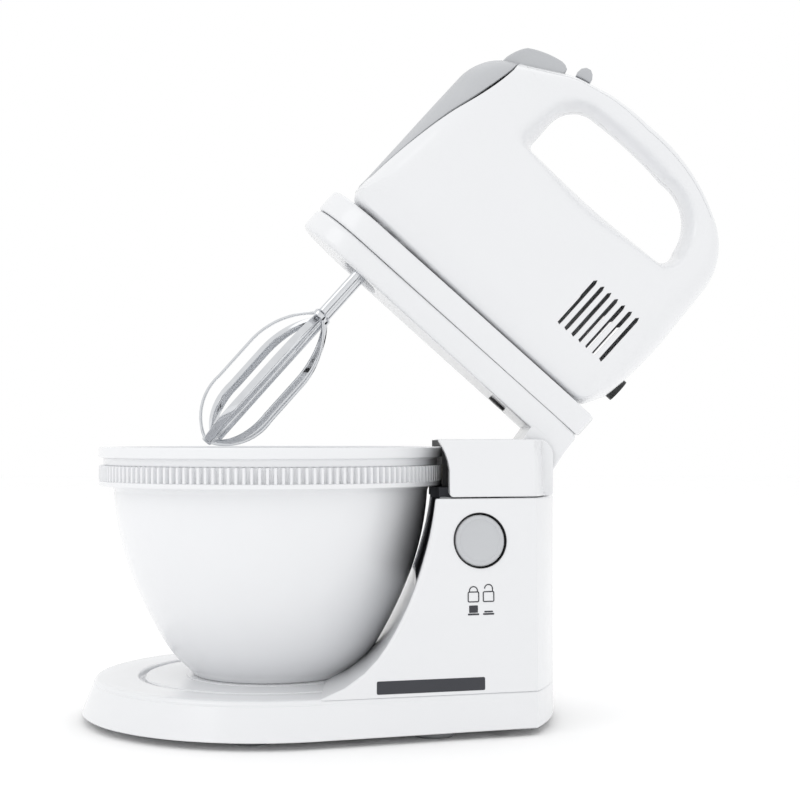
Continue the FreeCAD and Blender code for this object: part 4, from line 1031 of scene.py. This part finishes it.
def beater(side, y_at, phase):
    """Two crossed loops, the shaft, a foot under the crossing and the collar that stops it in its socket."""

    def place(points):
        return on_head(np.asarray(points, float) + (0, y_at, 0))

    half = outline(
        arc((3, 39.1), (17.4, 52.3), (22.6, 76)), (22.6, 104), arc((22.6, 104), (16.7, 131.2), (3, 148.6)),
    )
    line = dense(rounded(np.vstack([half, half[::-1] * (-1, 1)]), 3), 2.0)
    loops = [
        strip_loop(f"loop_{side}_{i}", line, STRIP_THICK, STRIP_WIDE, phase + i * math.pi / 2, place)
        for i in range(2)
    ]
    turn_line = rounded(outline(
        (0, 37.2), (3.2, 37.2), (4.2, 39.4), (3, 41), (3, 146.5), (4.6, 147.6), (4.6, 151), (3, 152.4),
        (3, 207), (8, 207), (8, 211), (3, 211), (3, 262), (2, 264.5), (0, 264.5),
    ), 0.5, closed=False)
    rod = lathe(f"rod_{side}", turn_line, 32, place)
    whole = join(f"beater_{side}_wires", [*loops, rod])
    return finish_as(whole, f"beater_{side}")


beater("near", -21.0, 0.0)
beater("far", 21.0, math.pi / 4)

# %% [markdown]
# ## Printed marks
#
# Under the lock button, two padlocks and two small pictograms say what the button does, and a plain dark
# bar stands where the rating is printed, without its words. They are thin prints that follow the column's
# side.

# %% Prints on the column
PROUD, SUNK = 0.15, 0.4


def on_side(x, z, proud):
    """The near side's y, stood off by proud."""
    return -(side_y(x, z) + proud)


def print_patch(name, line):
    """A filled print: its face stands a little proud and its back is sunk in the side."""
    return slab(
        name, line, lambda x, z: on_side(x, z, PROUD), lambda x, z: on_side(x, z, -SUNK), 0.05, step=0.4
    )


def print_line(name, path, width):
    """An open printed line: a flat strip of the width carried along the path, closed at both ends."""
    path = np.asarray(path, float)
    along = np.gradient(path, axis=0)
    along /= np.linalg.norm(along, axis=1)[:, None]
    across = np.stack([-along[:, 1], along[:, 0]], axis=-1) * width / 2
    left, right = path + across, path - across
    ring = [(left, PROUD), (right, PROUD), (right, -SUNK), (left, -SUNK)]
    grid = np.stack(
        [np.column_stack([p[:, 0], on_side(p[:, 0], p[:, 1], d), p[:, 1]]) for p, d in ring], axis=1
    )
    ends = [np.repeat(grid[i : i + 1].mean(axis=1, keepdims=True), 4, axis=1) for i in (0, -1)]
    return skin(name, on_stand(np.concatenate([ends[0], grid, ends[1]])), wrap_v=True)


def frame_line(name, x, low, high, width, line):
    """A printed rectangle's outline: a flat strip of the width line, carried round a closed path."""
    path = block(x, low, high, width - line, 0.7)
    return print_line(name, np.vstack([path, path[:2]]), line)


def block(x, low, high, width, radius=0.4):
    """A rounded rectangle centred on x."""
    half = width / 2
    corners = outline((x - half, low), (x + half, low), (x + half, high), (x - half, high))
    return dense(rounded(corners, radius), 0.4)


LINE = 0.7
marks = []
for name, x, lift, opened in (("shut", 131.5, 0.0, 0.0), ("open", 141.0, 1.1, 1.9)):
    marks.append(frame_line(f"padlock_{name}", x, 83.4, 89.4, 7.3, LINE))
    top = 90.2 + lift
    bow = outline(
        (x - 2.5, 89.4 + opened), arc((x - 2.5, top), (x, top + 2.5), (x + 2.5, top), 15), (x + 2.5, 89.4)
    )
    marks.append(print_line(f"shackle_{name}", even(bow, 30), LINE))
for name, x, top in (("raised", 131.5, 81.2), ("pressed", 141.0, 77.7)):
    marks.append(print_patch(f"button_{name}", block(x, 76.7, top, 5.5, 0.3)))
    marks.append(print_patch(f"surface_{name}", block(x, 75.2, 76.3, 7.1, 0.2)))
prints = join("lock_pictograms", marks)
finish_as(prints, slot="dark_grey", body="stand")
bar_line = rounded(outline((72, 29.6), (138.5, 29.6), (138.5, 37.5), (72, 37.5)), 0.6)
bar = print_patch("rating_bar", dense(bar_line, 1.0))
finish_as(bar, slot="dark_grey", body="stand")
